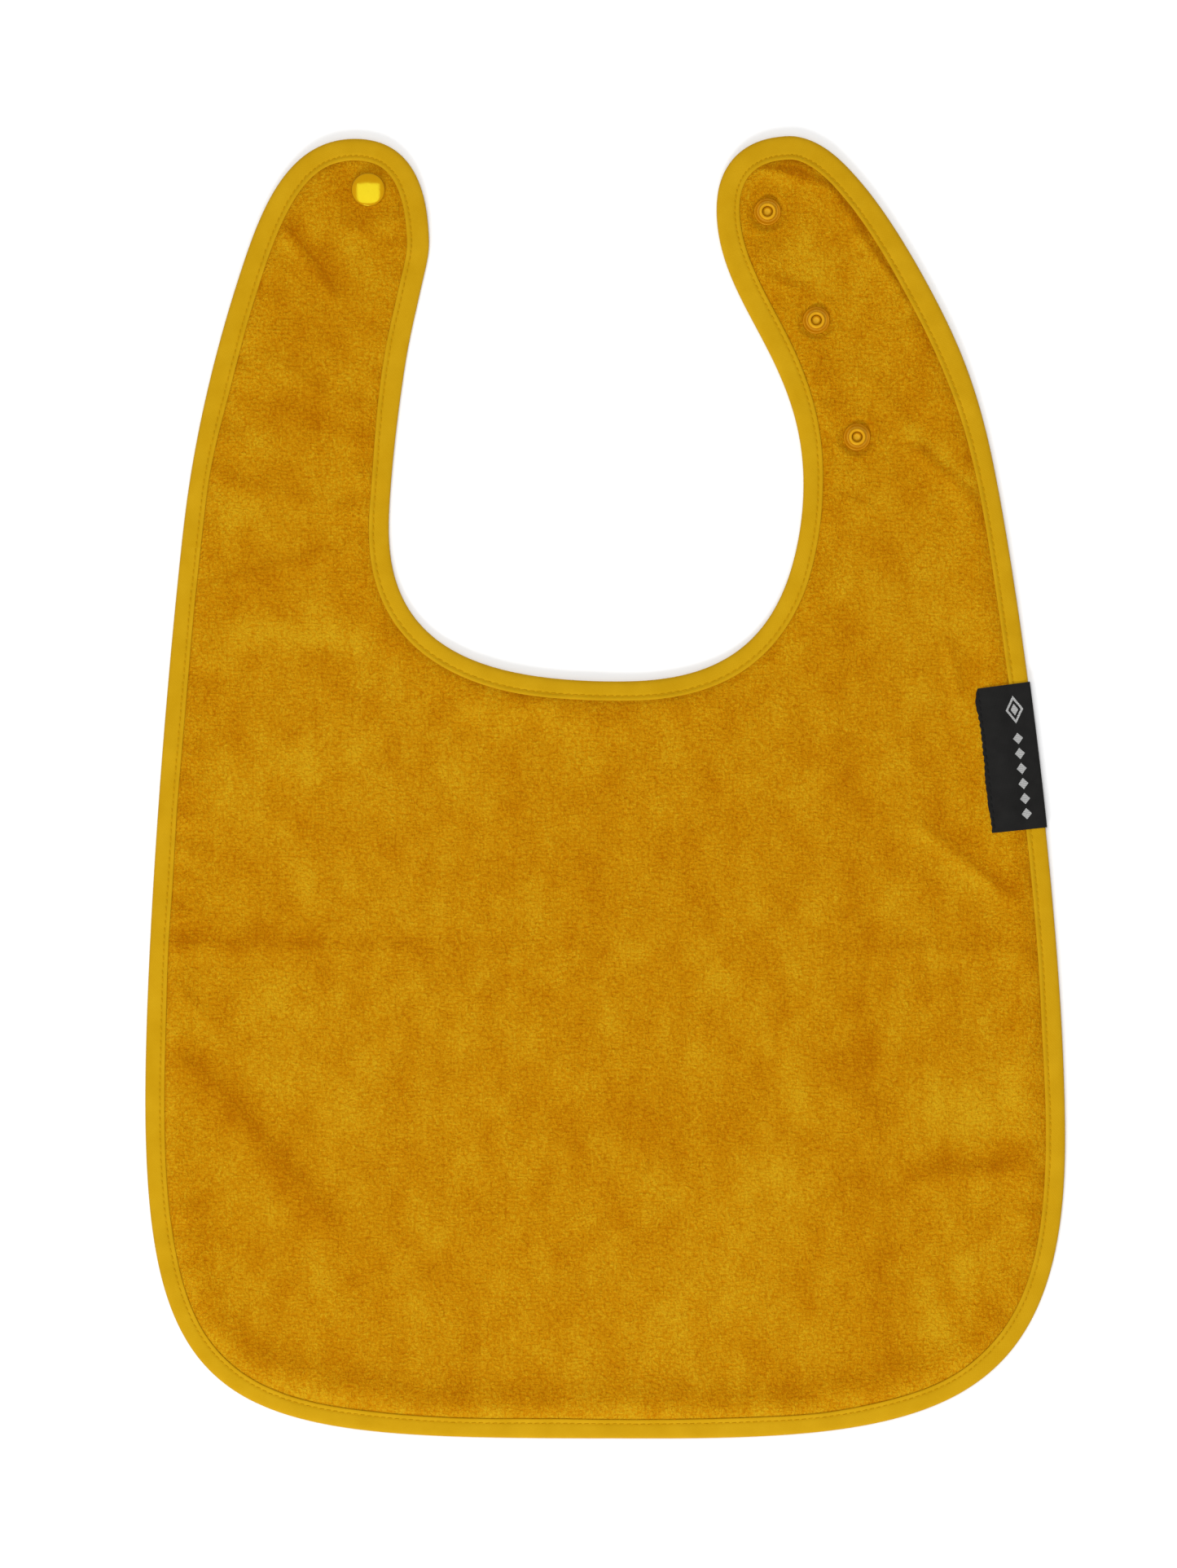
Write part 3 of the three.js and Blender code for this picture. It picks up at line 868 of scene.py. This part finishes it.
def label_material():
    """A black damask label with a generic pale motif: an open lozenge over a row of small ones."""
    s = Shader("woven_label")
    across, along, _ = s.parts(s.field("place"))
    ribs = s.math("SINE", s.math("MULTIPLY", across, 2 * math.pi / 0.42))
    picks = s.math("SINE", s.math("MULTIPLY", along, 2 * math.pi / 0.5))
    fray = s.noise(s.field("place"), 2.2, detail=2.0)
    mottle = s.noise(s.field("place"), 0.25, detail=3.0)

    def lozenge(from_x, from_y, half_width, half_height):
        """Below 1 inside a lozenge, its edge stepped a little by the weave."""
        a = s.math("DIVIDE", from_x, half_width)
        b = s.math("DIVIDE", from_y, half_height)
        return s.total(a, (b, 1.0), (fray, 0.16))

    def below(value, limit):
        return s.math("LESS_THAN", value, limit)

    centre_x, large_y, first_y, pitch = 13.6, 17.5, 9.6, 5.6
    from_x = s.math("ABSOLUTE", s.math("SUBTRACT", across, centre_x))
    from_large = s.math("ABSOLUTE", s.math("SUBTRACT", along, large_y))
    large = lozenge(from_x, from_large, 3.3, 5.2)
    open_part = s.math("MULTIPLY", below(large, 0.72), s.math("GREATER_THAN", large, 0.42))
    emblem = s.math("SUBTRACT", below(large, 1.0), open_part)
    steps = s.math("DIVIDE", s.math("SUBTRACT", first_y, along), pitch)
    within = s.math("SUBTRACT", s.math("FRACT", steps), 0.5)
    from_small = s.math("MULTIPLY", s.math("ABSOLUTE", within), pitch)
    small = below(lozenge(from_x, from_small, 1.9, 2.1), 1.0)
    in_row = s.math("MULTIPLY", below(steps, 6.0), s.math("GREATER_THAN", steps, 0.0))
    motif = s.math("ADD", emblem, s.math("MULTIPLY", small, in_row), clamp=True)

    dim = s.total(0.5, (ribs, 0.14), (mottle, 0.7))
    black = s.ramp(dim, (0.003, 0.0029, 0.0027), (0.0115, 0.011, 0.0102))
    pale = s.ramp(s.total(0.55, (picks, 0.3), (fray, 0.6)), (0.10, 0.10, 0.10), (0.5, 0.5, 0.49))
    colour = s.add("MixRGB", Fac=motif, Color1=black, Color2=pale)
    s.set(Base_Color=colour.outputs[0], Roughness=0.7, Specular_IOR_Level=0.12)
    s.bump(s.total(0.0, (ribs, 0.12), (picks, 0.1), (motif, 0.7)), 0.12, 0.6)
    return s.material


def snap_material(name, roughness, specular, tint, dark, light, painted_rise_light=0.0):
    """Moulded acetal, with the faint unevenness of a moulded face.

    Its last argument paints its raised parts lighter than those that lie low: painted light on the
    raised parts and painted shade on the low ones.
    """
    s = Shader(name)
    place = s.stretched(s.add("TexCoord").outputs["Object"], (1 / MM, 1 / MM, 1 / MM))
    flow = s.noise(place, 0.35, detail=2.0)
    specks = s.noise(place, 3.0, detail=2.0)
    # Painted light and shade: lighter the higher the part rises, by its last argument.
    shade = s.total(0.5 - 0.6 * painted_rise_light, (flow, 0.5), (specks, 0.12), (s.field("rise"), painted_rise_light))
    s.set(
        Base_Color=s.ramp(shade, dark, light),
        Roughness=s.total(roughness, (specks, 0.08)),
        Specular_IOR_Level=specular,
        Specular_Tint=(*tint, 1),
    )
    s.bump(flow, 0.05, 0.25)
    return s.material


VELOUR = velour_material()
BACKING = backing_material()
BINDING = binding_material()
THREAD = thread_material("sewing_thread", (0.39, 0.18, 0.0), (0.6, 0.32, 0.005))
LABEL = label_material()
LABEL_THREAD = thread_material("label_thread", (0.004, 0.004, 0.004), (0.02, 0.02, 0.02))
GLOSSY_ACETAL = snap_material(
    "glossy_acetal", 0.1, 0.8, (0.75, 0.95, 0.04), (0.44, 0.19, 0.0), (0.52, 0.24, 0.003)
)
# Its raised parts are painted lighter, as painted light on the studs, caps and socket.
SATIN_ACETAL = snap_material(
    "satin_acetal", 0.34, 0.5, (1.0, 0.78, 0.1), (0.4, 0.14, 0.0), (0.555, 0.26, 0.004), painted_rise_light=1.2
)


# The pieces


def attach(piece, body, node, rigid=False):
    """Puts a piece in place of its CAD node: on its body if it is on the panel or rigid, or else where
    it stands, its transform baked in.
    """
    if body == "panel" or rigid:
        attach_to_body(piece, body)
    else:
        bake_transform(piece)
    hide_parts(node)
    return piece


# Painted shade along creases and folds (below 0), painted light beside some of them (above 0), and
# patches of darker or lighter pile: start, end, half width, strength.
PAINTED_CREASE_LIGHT_AND_PILE_STROKES = [
    ((-157, -56), (-112, -57), 6, -0.5),
    ((-112, -57), (0, -58), 3, -0.2),
    ((110, -57), (152, -57), 5, -0.3),
    ((84, 62), (96, -100), 8, -0.25),
    ((97, -100), (101, -208), 10, -0.35),
    ((-150, -100), (-104, -158), 8, -0.5),
    ((-128, -80), (-96, -120), 12, 0.3),
    ((122, -118), (150, -116), 11, 0.65),
    ((118, -140), (152, -137), 7, -0.5),
    ((-132, 57), (-92, 54), 5, 0.6),
    ((-134, 74), (-104, 84), 6, -0.4),
    ((-136, -2), (-92, 14), 9, 0.35),
    ((118, -8), (150, -38), 4, -0.5),
    ((62, -148), (20, -214), 17, 0.3),
    ((-40, -20), (40, -26), 20, -0.2),
    ((-14, -126), (44, -122), 11, -0.3),
    ((-60, 8), (-30, -40), 14, 0.15),
    ((118, -200), (140, -170), 10, 0.35),
    ((-112, 205), (-98, 186), 5, -0.6),
    ((-126, 186), (-96, 160), 7, -0.35),
    ((-120, 140), (-92, 132), 8, -0.35),
    ((-140, 104), (-110, 98), 6, 0.3),
    ((66, 230), (100, 206), 4, -0.6),
    ((100, 206), (128, 166), 4, -0.35),
    ((66, 196), (90, 176), 9, 0.3),
    ((52, 184), (74, 182), 5, -0.5),
    ((106, 150), (128, 140), 8, -0.3),
    ((112, 131), (138, 107), 3, 0.7),
    ((116, 123), (140, 100), 4, -0.6),
    ((110, 70), (140, 60), 10, 0.2),
]


def paint_pile_light_and_shade(points, height):
    """Painted light and shade on the pile: the strokes above, height as the painted light and shade of
    the slopes, and painted shade round the snaps, with random pile tone.
    """
    shade = sum(strength * stroke(points, a, b, width) for a, b, width, strength in PAINTED_CREASE_LIGHT_AND_PILE_STROKES)
    shade = shade + 0.16 * ripple(points, 26, seed=21) + 0.12 * ripple(points, 13, seed=22)
    # Painted shade in a ring round the snaps, where the pile stands up round them.
    painted_snap_shade = smooth((12.5 - snap_distance(points)) / 6)
    return 0.7 * shade + height - 0.06 * painted_snap_shade


def slope_shade(plan, level):
    """The slope of a level towards the hem, as painted light and shade for each plan point: lighter
    where it faces the low light beyond the hem and to the left, darker where it faces away.
    """
    normals = plan_normals(plan, level)
    return -normals[:, 1] - 0.4 * normals[:, 0]


def make_cloth():
    """The towelling and its backing, from one plan and one height field."""
    plan = cloth_plan(
        grid=2.0,
        ring_step=1.6,
        ring_offsets=[(0, 3.6), (1, -0.8), (1, 0.1), (1, 0.6), (1, 1.3), (1, 2.3), (1, 3.7), (1, 5.4)],
        snap_rings=[3.2, 5.0, 5.8, 6.6, 7.5, 8.5, 9.8],
    )
    rise = lift(plan.points, plan.inset, loop[plan.near])
    backing_low = backing_level(plan.points) + rise
    backing_top = backing_low + BACKING_THICKNESS
    pile_top = backing_top + towel_thickness(plan.points, plan.near, plan.inset)
    # Painted light and shade of the pile, from its slopes, its creases and the snaps.
    pile_and_painted_light = paint_pile_light_and_shade(plan.points, 0.9 * slope_shade(plan, rise))
    made = {}
    for part in plan.parts:
        velour, flat = cloth_layer(
            f"velour_{part}", plan, part, backing_top + LAYER_GAP / 2, pile_top, VELOUR, pile_and_painted_light
        )
        attach(velour, part, f"towelling_{part}")
        laminate, _ = cloth_layer(
            f"laminate_{part}", plan, part, backing_low, backing_top - LAYER_GAP / 2, BACKING
        )
        attach(laminate, part, f"backing_{part}")
        made[part] = velour, laminate, flat
    return made


# The folded tape's section, anticlockwise from its inner edge on the towelling. Each row is 0 for
# an inset from the outline or 1 for one from the inner edge, the inset, the level, and how much
# of the dimple at a stitch's end it takes.
TAPE_SECTION = [
    (1, 0.00, RIM_TOP + 0.03, 0),
    (1, 0.06, RIM_TOP + 0.26, 0),
    (1, -0.06, TAPE_TOP + 0.00, 0),
    (1, -0.32, TAPE_TOP + 0.12, 0),
    (1, -0.75, TAPE_TOP + 0.13, 0.1),
    (1, -1.15, TAPE_TOP + 0.06, 0.4),
    (1, -1.45, TAPE_TOP - 0.08, 0.8),
    (1, -1.70, TAPE_TOP - 0.20, 1),
    (1, -1.95, TAPE_TOP - 0.08, 0.8),
    (1, -2.35, TAPE_TOP + 0.03, 0.4),
    (1, -3.00, TAPE_TOP + 0.09, 0.1),
    (0, 2.90, TAPE_TOP + 0.10, 0),
    (0, 1.80, TAPE_TOP + 0.04, 0),
    (0, 1.00, TAPE_TOP - 0.12, 0),
    (0, 0.45, TAPE_TOP - 0.38, 0),
    (0, 0.12, TAPE_TOP - 0.75, 0),
    (0, 0.00, NOSE_LEVEL, 0),
    (0, 0.12, TAPE_BOTTOM + 0.75, 0),
    (0, 0.45, TAPE_BOTTOM + 0.36, 0),
    (0, 1.00, TAPE_BOTTOM + 0.10, 0),
    (0, 1.80, TAPE_BOTTOM + 0.00, 0),
    (1, -2.35, TAPE_BOTTOM + 0.00, -0.2),
    (1, -1.95, TAPE_BOTTOM + 0.06, -0.6),
    (1, -1.70, TAPE_BOTTOM + 0.14, -1),
    (1, -1.45, TAPE_BOTTOM + 0.06, -0.6),
    (1, -1.05, TAPE_BOTTOM + 0.00, -0.2),
    (1, -0.25, TAPE_BOTTOM + 0.02, 0),
    (1, 0.00, TAPE_BOTTOM + 0.20, 0),
    (1, 0.00, BACKING_BOTTOM - 0.03, 0),
    (0, 0.60, BACKING_BOTTOM - 0.03, 0),
    (0, 0.50, NOSE_LEVEL, 0),
    (0, 0.60, RIM_TOP + 0.03, 0),
]


def on_cloth(near, inset, level):
    """Points this far inside the outline at these places of the loop, lifted with the cloth."""
    near, inset, level = np.broadcast_arrays(near, inset, level)
    flat = loop[near] + inset[..., None] * inward[near]
    rise = lift(flat.reshape(-1, 2), inset.ravel(), loop[near.ravel()]).reshape(level.shape)
    return np.concatenate([flat, (level + rise)[..., None]], axis=-1)


def make_tape(name):
    """One stretch of the binding: three rings to a stitch, with a dimple where two stitches meet."""
    first, last = SPANS[name]
    stitches = len(stations_between(first, last, STITCH_PITCH)) - 1
    steps = np.arange(-1, 3 * stitches + 2)
    place_in_loop = first + steps * (last - first) / (3 * stitches)
    near = np.round(place_in_loop).astype(int) % len(loop)
    dimple = np.where(steps % 3 == 0, STITCH_DIMPLE, 0.0)
    anchor, offset, level, share = np.array(TAPE_SECTION).T
    inset = anchor * tape_width[near][:, None] + offset
    rings = on_cloth(near[:, None], inset, level - share * dimple[:, None])
    along = place_in_loop[:, None] * LOOP_STEP
    place = np.stack(np.broadcast_arrays(along, inset, level), axis=2)[1:-1]
    piece = sweep(f"tape_{name}", rings[1:-1], BINDING, place=place.reshape(-1, 3))
    ahead = np.gradient(rings, axis=0)
    round_it = np.roll(rings, -1, axis=1) - np.roll(rings, 1, axis=1)
    normals = np.cross(round_it, ahead)[1:-1].reshape(-1, 3)
    normals /= np.maximum(np.linalg.norm(normals, axis=1), 1e-9)[:, None]
    own = np.array([vertex.normal for vertex in piece.data.vertices])
    shade_smooth(piece, normals * np.sign((own * normals).sum()), len(piece.data.polygons) - 2)
    attach(piece, BODIES[name], f"{name}_binding")
    length = (last - first) * LOOP_STEP
    width = 2 * tape_width[near].mean() + TAPE_TOP - TAPE_BOTTOM
    return piece, (length * MM, width * MM)


def make_stitches(name, insets, first, last, level, up, material, sink=0.42):
    """A row of stitches on one face, from loop index first to last; up is 1 on top, -1 below.

    insets says how far inside the outline the row runs at each place of the loop.
    """
    places = stations_between(first, last, STITCH_PITCH)
    count = 9
    half = STITCH_LENGTH / 2 / LOOP_STEP
    centre = (places[:-1] + half * STITCH_PITCH / STITCH_LENGTH).astype(int)
    share = np.linspace(-1, 1, count)
    near = np.round(centre[:, None] + share * half).astype(int) % len(loop)
    wander = 0.07 * np.random.default_rng(len(places)).standard_normal((len(near), 1))
    inset = insets[near] + STITCH_SLANT * share + wander
    paths = on_cloth(near, inset, level + up * (0.10 - sink * np.abs(share) ** 5))
    middle = near[:, count // 2]
    sideways = np.column_stack([inward[middle], np.zeros(len(middle))])
    return many_capsules(name, paths, sideways, THREAD_RADIUS, material)


def make_topstitch(name):
    """The binding's needle thread on the front and its bobbin thread on the back."""
    where = (tape_width - STITCH_MARGIN, *SPANS[name])
    top = make_stitches(f"topstitch_{name}", *where, TAPE_TOP - 0.18, 1, THREAD)
    attach(top, BODIES[name], f"{name}_needle_thread")
    under = make_stitches(f"understitch_{name}", *where, TAPE_BOTTOM + 0.08, -1, THREAD, sink=0.25)
    attach(under, BODIES[name], f"{name}_bobbin_thread")
    return [top, under]


# The label's middle surface from its end on the backing, round the edge of the bib, to its end
# on the towelling, as [inset, level] points.
LABEL_PATH = [
    (LABEL_REACH, 0.42), (LABEL_SEAM, 0.5), (17.2, 0.42), (13, 0.34), (9, 0.26), (7, 0.17), (3, 0.15),
    (0.9, 0.16), (-0.15, 0.36), (-0.45, 0.95), (-0.47, 1.6), (-0.4, 2.25), (-0.05, 2.72),
    (0.9, 2.93), (3, 2.97), (6.2, 2.96), (7.6, 3.0), (9.2, 3.16), (12, 3.32), (15.5, 3.34),
    (17.4, 3.2), (LABEL_SEAM, 2.86), (19.4, 2.96), (LABEL_REACH, 3.08),
]


def open_spline(knots, per_gap):
    """Catmull-Rom points through the knots."""
    knots = np.array(knots, float)
    ends = np.vstack([2 * knots[0] - knots[1], knots, 2 * knots[-1] - knots[-2]])
    t = np.linspace(0, 1, per_gap, endpoint=False)[:, None]
    parts = [
        0.5 * (2 * b + (c - a) * t + (2 * a - 5 * b + 4 * c - d) * t**2 + (3 * b - a - 3 * c + d) * t**3)
        for a, b, c, d in zip(ends, ends[1:], ends[2:], ends[3:])
    ]
    return np.vstack([*parts, knots[-1:]])


def label_rings(path, run, along, near):
    """The label's skin round its path, at each place of the outline, with a cut and wavy end."""
    tangent = np.gradient(path, axis=0)
    tangent /= np.linalg.norm(tangent, axis=1)[:, None]
    side = np.column_stack([-tangent[:, 1], tangent[:, 0]])
    # Each end of the path is cut a little unevenly and drawn in between the stitches.
    end_share = np.exp(-((run[-1] - run) / 1.6)) + np.exp(-(run / 1.6))
    line = np.column_stack([along, along * 0])
    drawn = 0.09 * np.cos(2 * math.pi * along / STITCH_PITCH) + 0.28 * ripple(line, 13, seed=31)
    drawn += 0.13 * ripple(line, 3.1, seed=33) - 0.9 * np.exp(-((along[-1] - along) / 1.8))
    front_share = smooth((run - run[-1] / 2) / 6)
    wave = 0.16 * front_share * smooth(1 - np.abs(path[:, 0] - 13) / 6)
    level = path[:, 1] + ripple(line, 13, seed=32)[:, None] * wave
    middle = np.stack([path[:, 0] + drawn[:, None] * end_share, level], axis=2)
    thick = LABEL_THICKNESS * (1 + 0.7 * smooth((run - run[-1] + 2.2) / 0.8))
    to_face = thick[:, None] / 2 * side
    section = np.concatenate([middle + to_face, (middle - to_face)[:, ::-1]], axis=1)
    return on_cloth(near[:, None], section[..., 0], section[..., 1])


def make_label():
    """The folded label over the edge of the bib, and its row of stitches on each face."""
    path = open_spline(LABEL_PATH, 6)
    run = distance_along(path)
    half = LABEL_HEIGHT / 2
    reach = round(half / LOOP_STEP)
    near = stations_between(label_middle - reach, label_middle + reach, 0.75)
    along = np.linspace(-half, half, len(near))
    rings = label_rings(path, run, along, near)
    across = np.where(run > run[-1] / 2, run[-1] - run, run)
    across = np.concatenate([across, across[::-1]])
    hidden = np.concatenate([run < run[-1] / 2] * 2)
    place = np.stack(np.broadcast_arrays(across + 100 * hidden, along[:, None], 0.0), axis=2)
    piece = sweep("woven_label", rings, LABEL, place=place.reshape(-1, 3))
    piece.data.set_sharp_from_angle(angle=math.radians(50))
    attach(piece, "panel", "side_label")
    flat = SimpleNamespace(size=(run[-1] * MM, LABEL_HEIGHT * MM))
    half_row = round((half - 1.2) / LOOP_STEP)
    where = (np.full(len(loop), LABEL_SEAM), label_middle - half_row, label_middle + half_row)
    top = make_stitches("label_topstitch", *where, 3.08, 1, LABEL_THREAD)
    attach(top, "panel", "label_needle_thread")
    under = make_stitches("label_understitch", *where, 0.33, -1, LABEL_THREAD, sink=0.2)
    attach(under, "panel", "label_bobbin_thread")
    return piece, flat, [top, under]


def rounded(profile, radius, steps=4):
    """A profile with each corner off the axis rounded."""
    points = [np.array(p, float) for p in profile]
    made = []
    for k, corner in enumerate(points):
        before, after = points[k - 1], points[(k + 1) % len(points)]
        if corner[0] == 0:
            made.append(corner)
            continue
        back = min(radius, np.linalg.norm(before - corner) / 2.2)
        ahead = min(radius, np.linalg.norm(after - corner) / 2.2)
        start = corner + (before - corner) * back / np.linalg.norm(before - corner)
        end = corner + (after - corner) * ahead / np.linalg.norm(after - corner)
        for t in np.linspace(0, 1, steps + 1):
            made.append((1 - t) ** 2 * start + 2 * t * (1 - t) * corner + t * t * end)
    return np.array(made)


def turned(name, snap, profile, material, body, node, segments=72):
    """A part of a snap: a profile of (radius, level) points turned about its middle.

    The profile is closed, or starts and ends on the axis.
    """
    vertices, rows = [], []
    for radius, level in profile:
        if radius < 1e-6:
            rows.append([len(vertices)] * segments)
            vertices.append((*snap.centre, level))
            continue
        rows.append(list(range(len(vertices), len(vertices) + segments)))
        vertices.extend((*place, level) for place in circle(snap.centre, radius, segments))
    faces = []
    for row, above in zip(rows, rows[1:] + rows[:1]):
        for k in range(segments):
            n = (k + 1) % segments
            face = list(dict.fromkeys([row[k], row[n], above[n], above[k]]))
            if len(face) > 2:
                faces.append(face)
    piece = make_piece(name, vertices, faces, material)
    face_outwards(piece)
    piece.data.set_sharp_from_angle(angle=math.radians(32))
    # How high each point lies in the part, which the satin material turns into painted light on raised
    # parts.
    levels = np.array(vertices)[:, 2]
    rise = piece.data.attributes.new("rise", "FLOAT", "POINT")
    rise.data.foreach_set("value", (levels - levels.min()) / np.ptp(levels))
    return attach(piece, body, node, rigid=True)


# Parts of the snaps: the thickness of a plate, the radius of a cap's post and a stud's knob.
PLATE = 0.9
POST_RADIUS = 1.2
STUD_HEIGHT = 2.9
KNOB_BORE, KNOB_RADIUS = 1.9, 3.2


def cap_profile(radius, level, up):
    """A shallow domed cap. Its post is flattened behind the other piece's plate."""
    head = -PRESSED - PLATE
    shoulder = 0.86
    lower = rounded(
        [
            (0, head - 0.7), (1.1, head - 0.8), (1.75, head - 0.4), (1.75, head), (POST_RADIUS, head),
            (POST_RADIUS, 0.0), (radius - 0.12, 0.0), (radius, 0.35), (radius, shoulder - 0.05),
        ],
        0.18,
    )[:-2]
    dome = []
    for t in np.linspace(1, 0, 26):
        r = radius * t
        crown = shoulder + (CAP_HEIGHT - shoulder) * (1 - t**2.1)
        rolled = 0.42 * (1 - math.sqrt(max(0.0, 1 - max(0.0, (t - 0.9) / 0.1) ** 2)))
        gate = 0.05 * math.exp(-((r / 0.9) ** 4))
        dome.append((r, crown - rolled - gate))
    profile = np.vstack([lower, dome])
    return [(r, level + up * z) for r, z in profile]


def stud_profile(snap):
    """A plate with a hollow knob that snaps into the socket."""
    low, plate = snap.front_level, snap.front_level + PLATE
    rim, rim_middle = (KNOB_RADIUS - KNOB_BORE) / 2, (KNOB_RADIUS + KNOB_BORE) / 2
    rim_level = low + STUD_HEIGHT - rim
    knob = [
        (rim_middle + rim * math.cos(turn), rim_level + rim * math.sin(turn))
        for turn in np.linspace(0, math.pi, 11)
    ]
    edge = snap.front_radius
    return rounded(
        [
            (POST_HOLE, low), (edge, low), (edge, plate - 0.3), (edge - 0.3, plate), (3.9, plate - 0.3),
            (KNOB_RADIUS - 0.05, plate - 0.3), *knob, (KNOB_BORE, plate), (POST_HOLE, plate),
        ],
        0.22,
    )


def socket_profile(snap):
    """A plate with a wide ring that the knob snaps into, opening downwards."""
    face = snap.back_level
    plate = face - PLATE
    outer = snap.back_radius
    return rounded(
        [
            (POST_HOLE, plate), (3.35, plate), (3.5, plate - 0.7), (3.3, 0.4), (3.6, 0.02),
            (outer - 0.9, 0.02), (outer - 0.6, plate - 0.2), (outer - 0.1, plate), (outer, plate + 0.3),
            (outer, face), (POST_HOLE, face),
        ],
        0.22,
    )


def make_snaps():
    """The cap and socket of the left tab, and the studs and caps of the right one."""
    cap = cap_profile(left_snap.front_radius, left_snap.front_level, 1)
    socket = socket_profile(left_snap)
    left = [
        turned("snap_cap_front", left_snap, cap, GLOSSY_ACETAL, "left_tab", "front_snap_cap"),
        turned("snap_socket_back", left_snap, socket, SATIN_ACETAL, "left_tab", "back_snap_socket"),
    ]
    right = []
    for k, snap in enumerate(right_snaps, 1):
        stud, cap = stud_profile(snap), cap_profile(snap.back_radius, snap.back_level, -1)
        right += [
            turned(f"stud_{k}", snap, stud, SATIN_ACETAL, "right_tab", f"snap_stud_{k}"),
            turned(f"snap_cap_back_{k}", snap, cap, SATIN_ACETAL, "right_tab", f"back_snap_cap_{k}"),
        ]
    return left, right


def make_bib():
    """All the pieces, gathered by the body that carries each."""
    cloth = make_cloth()
    on = {"panel": [], "left_tab": [], "right_tab": []}
    for name in SPANS:
        tape, flat = make_tape(name)
        stitches = make_topstitch(name)
        on[BODIES[name]] += [tape, *stitches]
    label, label_flat, label_stitches = make_label()
    left, right = make_snaps()
    on["left_tab"] += left
    on["right_tab"] += right


# Floor, light and camera


def make_floor():
    """A wide pale floor, just under the bib."""
    s = Shader("pale_floor")
    place = s.add("TexCoord").outputs["Object"]
    tone = s.total(0.5, (s.noise(place, 1.5, detail=3.0), 0.3))
    grey = s.ramp(tone, (0.87, 0.87, 0.87), (0.9, 0.9, 0.9))
    s.set(Base_Color=grey, Roughness=0.9, Specular_IOR_Level=0.0)
    make_piece("floor", square(6000, -0.05), [[0, 1, 2, 3]], s.material)


def make_light(name, place, aim, size, power):
    """A rectangular light at a place, in metres, aimed at another."""
    data = bpy.data.lights.new(name, "AREA")
    data.shape = "RECTANGLE"
    data.size, data.size_y = size
    data.energy = power
    light = bpy.data.objects.new(name, data)
    light.location = place
    light.rotation_euler = (Vector(aim) - Vector(place)).to_track_quat("-Z", "Y").to_euler()
    light.visible_camera = False
    bpy.context.scene.collection.objects.link(light)


def make_studio():
    """A white room, a softbox over the left tab and a low light beyond the hem."""
    world = bpy.data.worlds.new("studio")
    world.use_nodes = True
    background = world.node_tree.nodes["Background"]
    background.inputs["Color"].default_value = (1, 1, 1, 1)
    background.inputs["Strength"].default_value = 0.62
    bpy.context.scene.world = world
    make_light("softbox", (-0.167, 0.27, 1.9), (-0.167, 0.2701, 0), (0.93, 0.83), 16)
    make_light("low", (-0.5, -2.1, 1.3), (0, 0.15, 0), (1.2, 0.6), 40)
    bpy.context.scene.view_settings.view_transform = "Standard"


def make_camera():
    """Straight down on the bib, a little left of its middle."""
    view_height, centre, lens = 0.5775, (-0.00615, 0.0012), 120
    data = bpy.data.cameras.new("camera")
    data.lens = lens
    data.clip_end = 100
    camera = bpy.data.objects.new("camera", data)
    distance = view_height / 2 * lens / (data.sensor_width / 2)
    camera.location = (*centre, distance + PILE_TOP * MM)
    bpy.context.scene.collection.objects.link(camera)
    bpy.context.scene.camera = camera


make_camera()
make_bib()
make_floor()
make_studio()
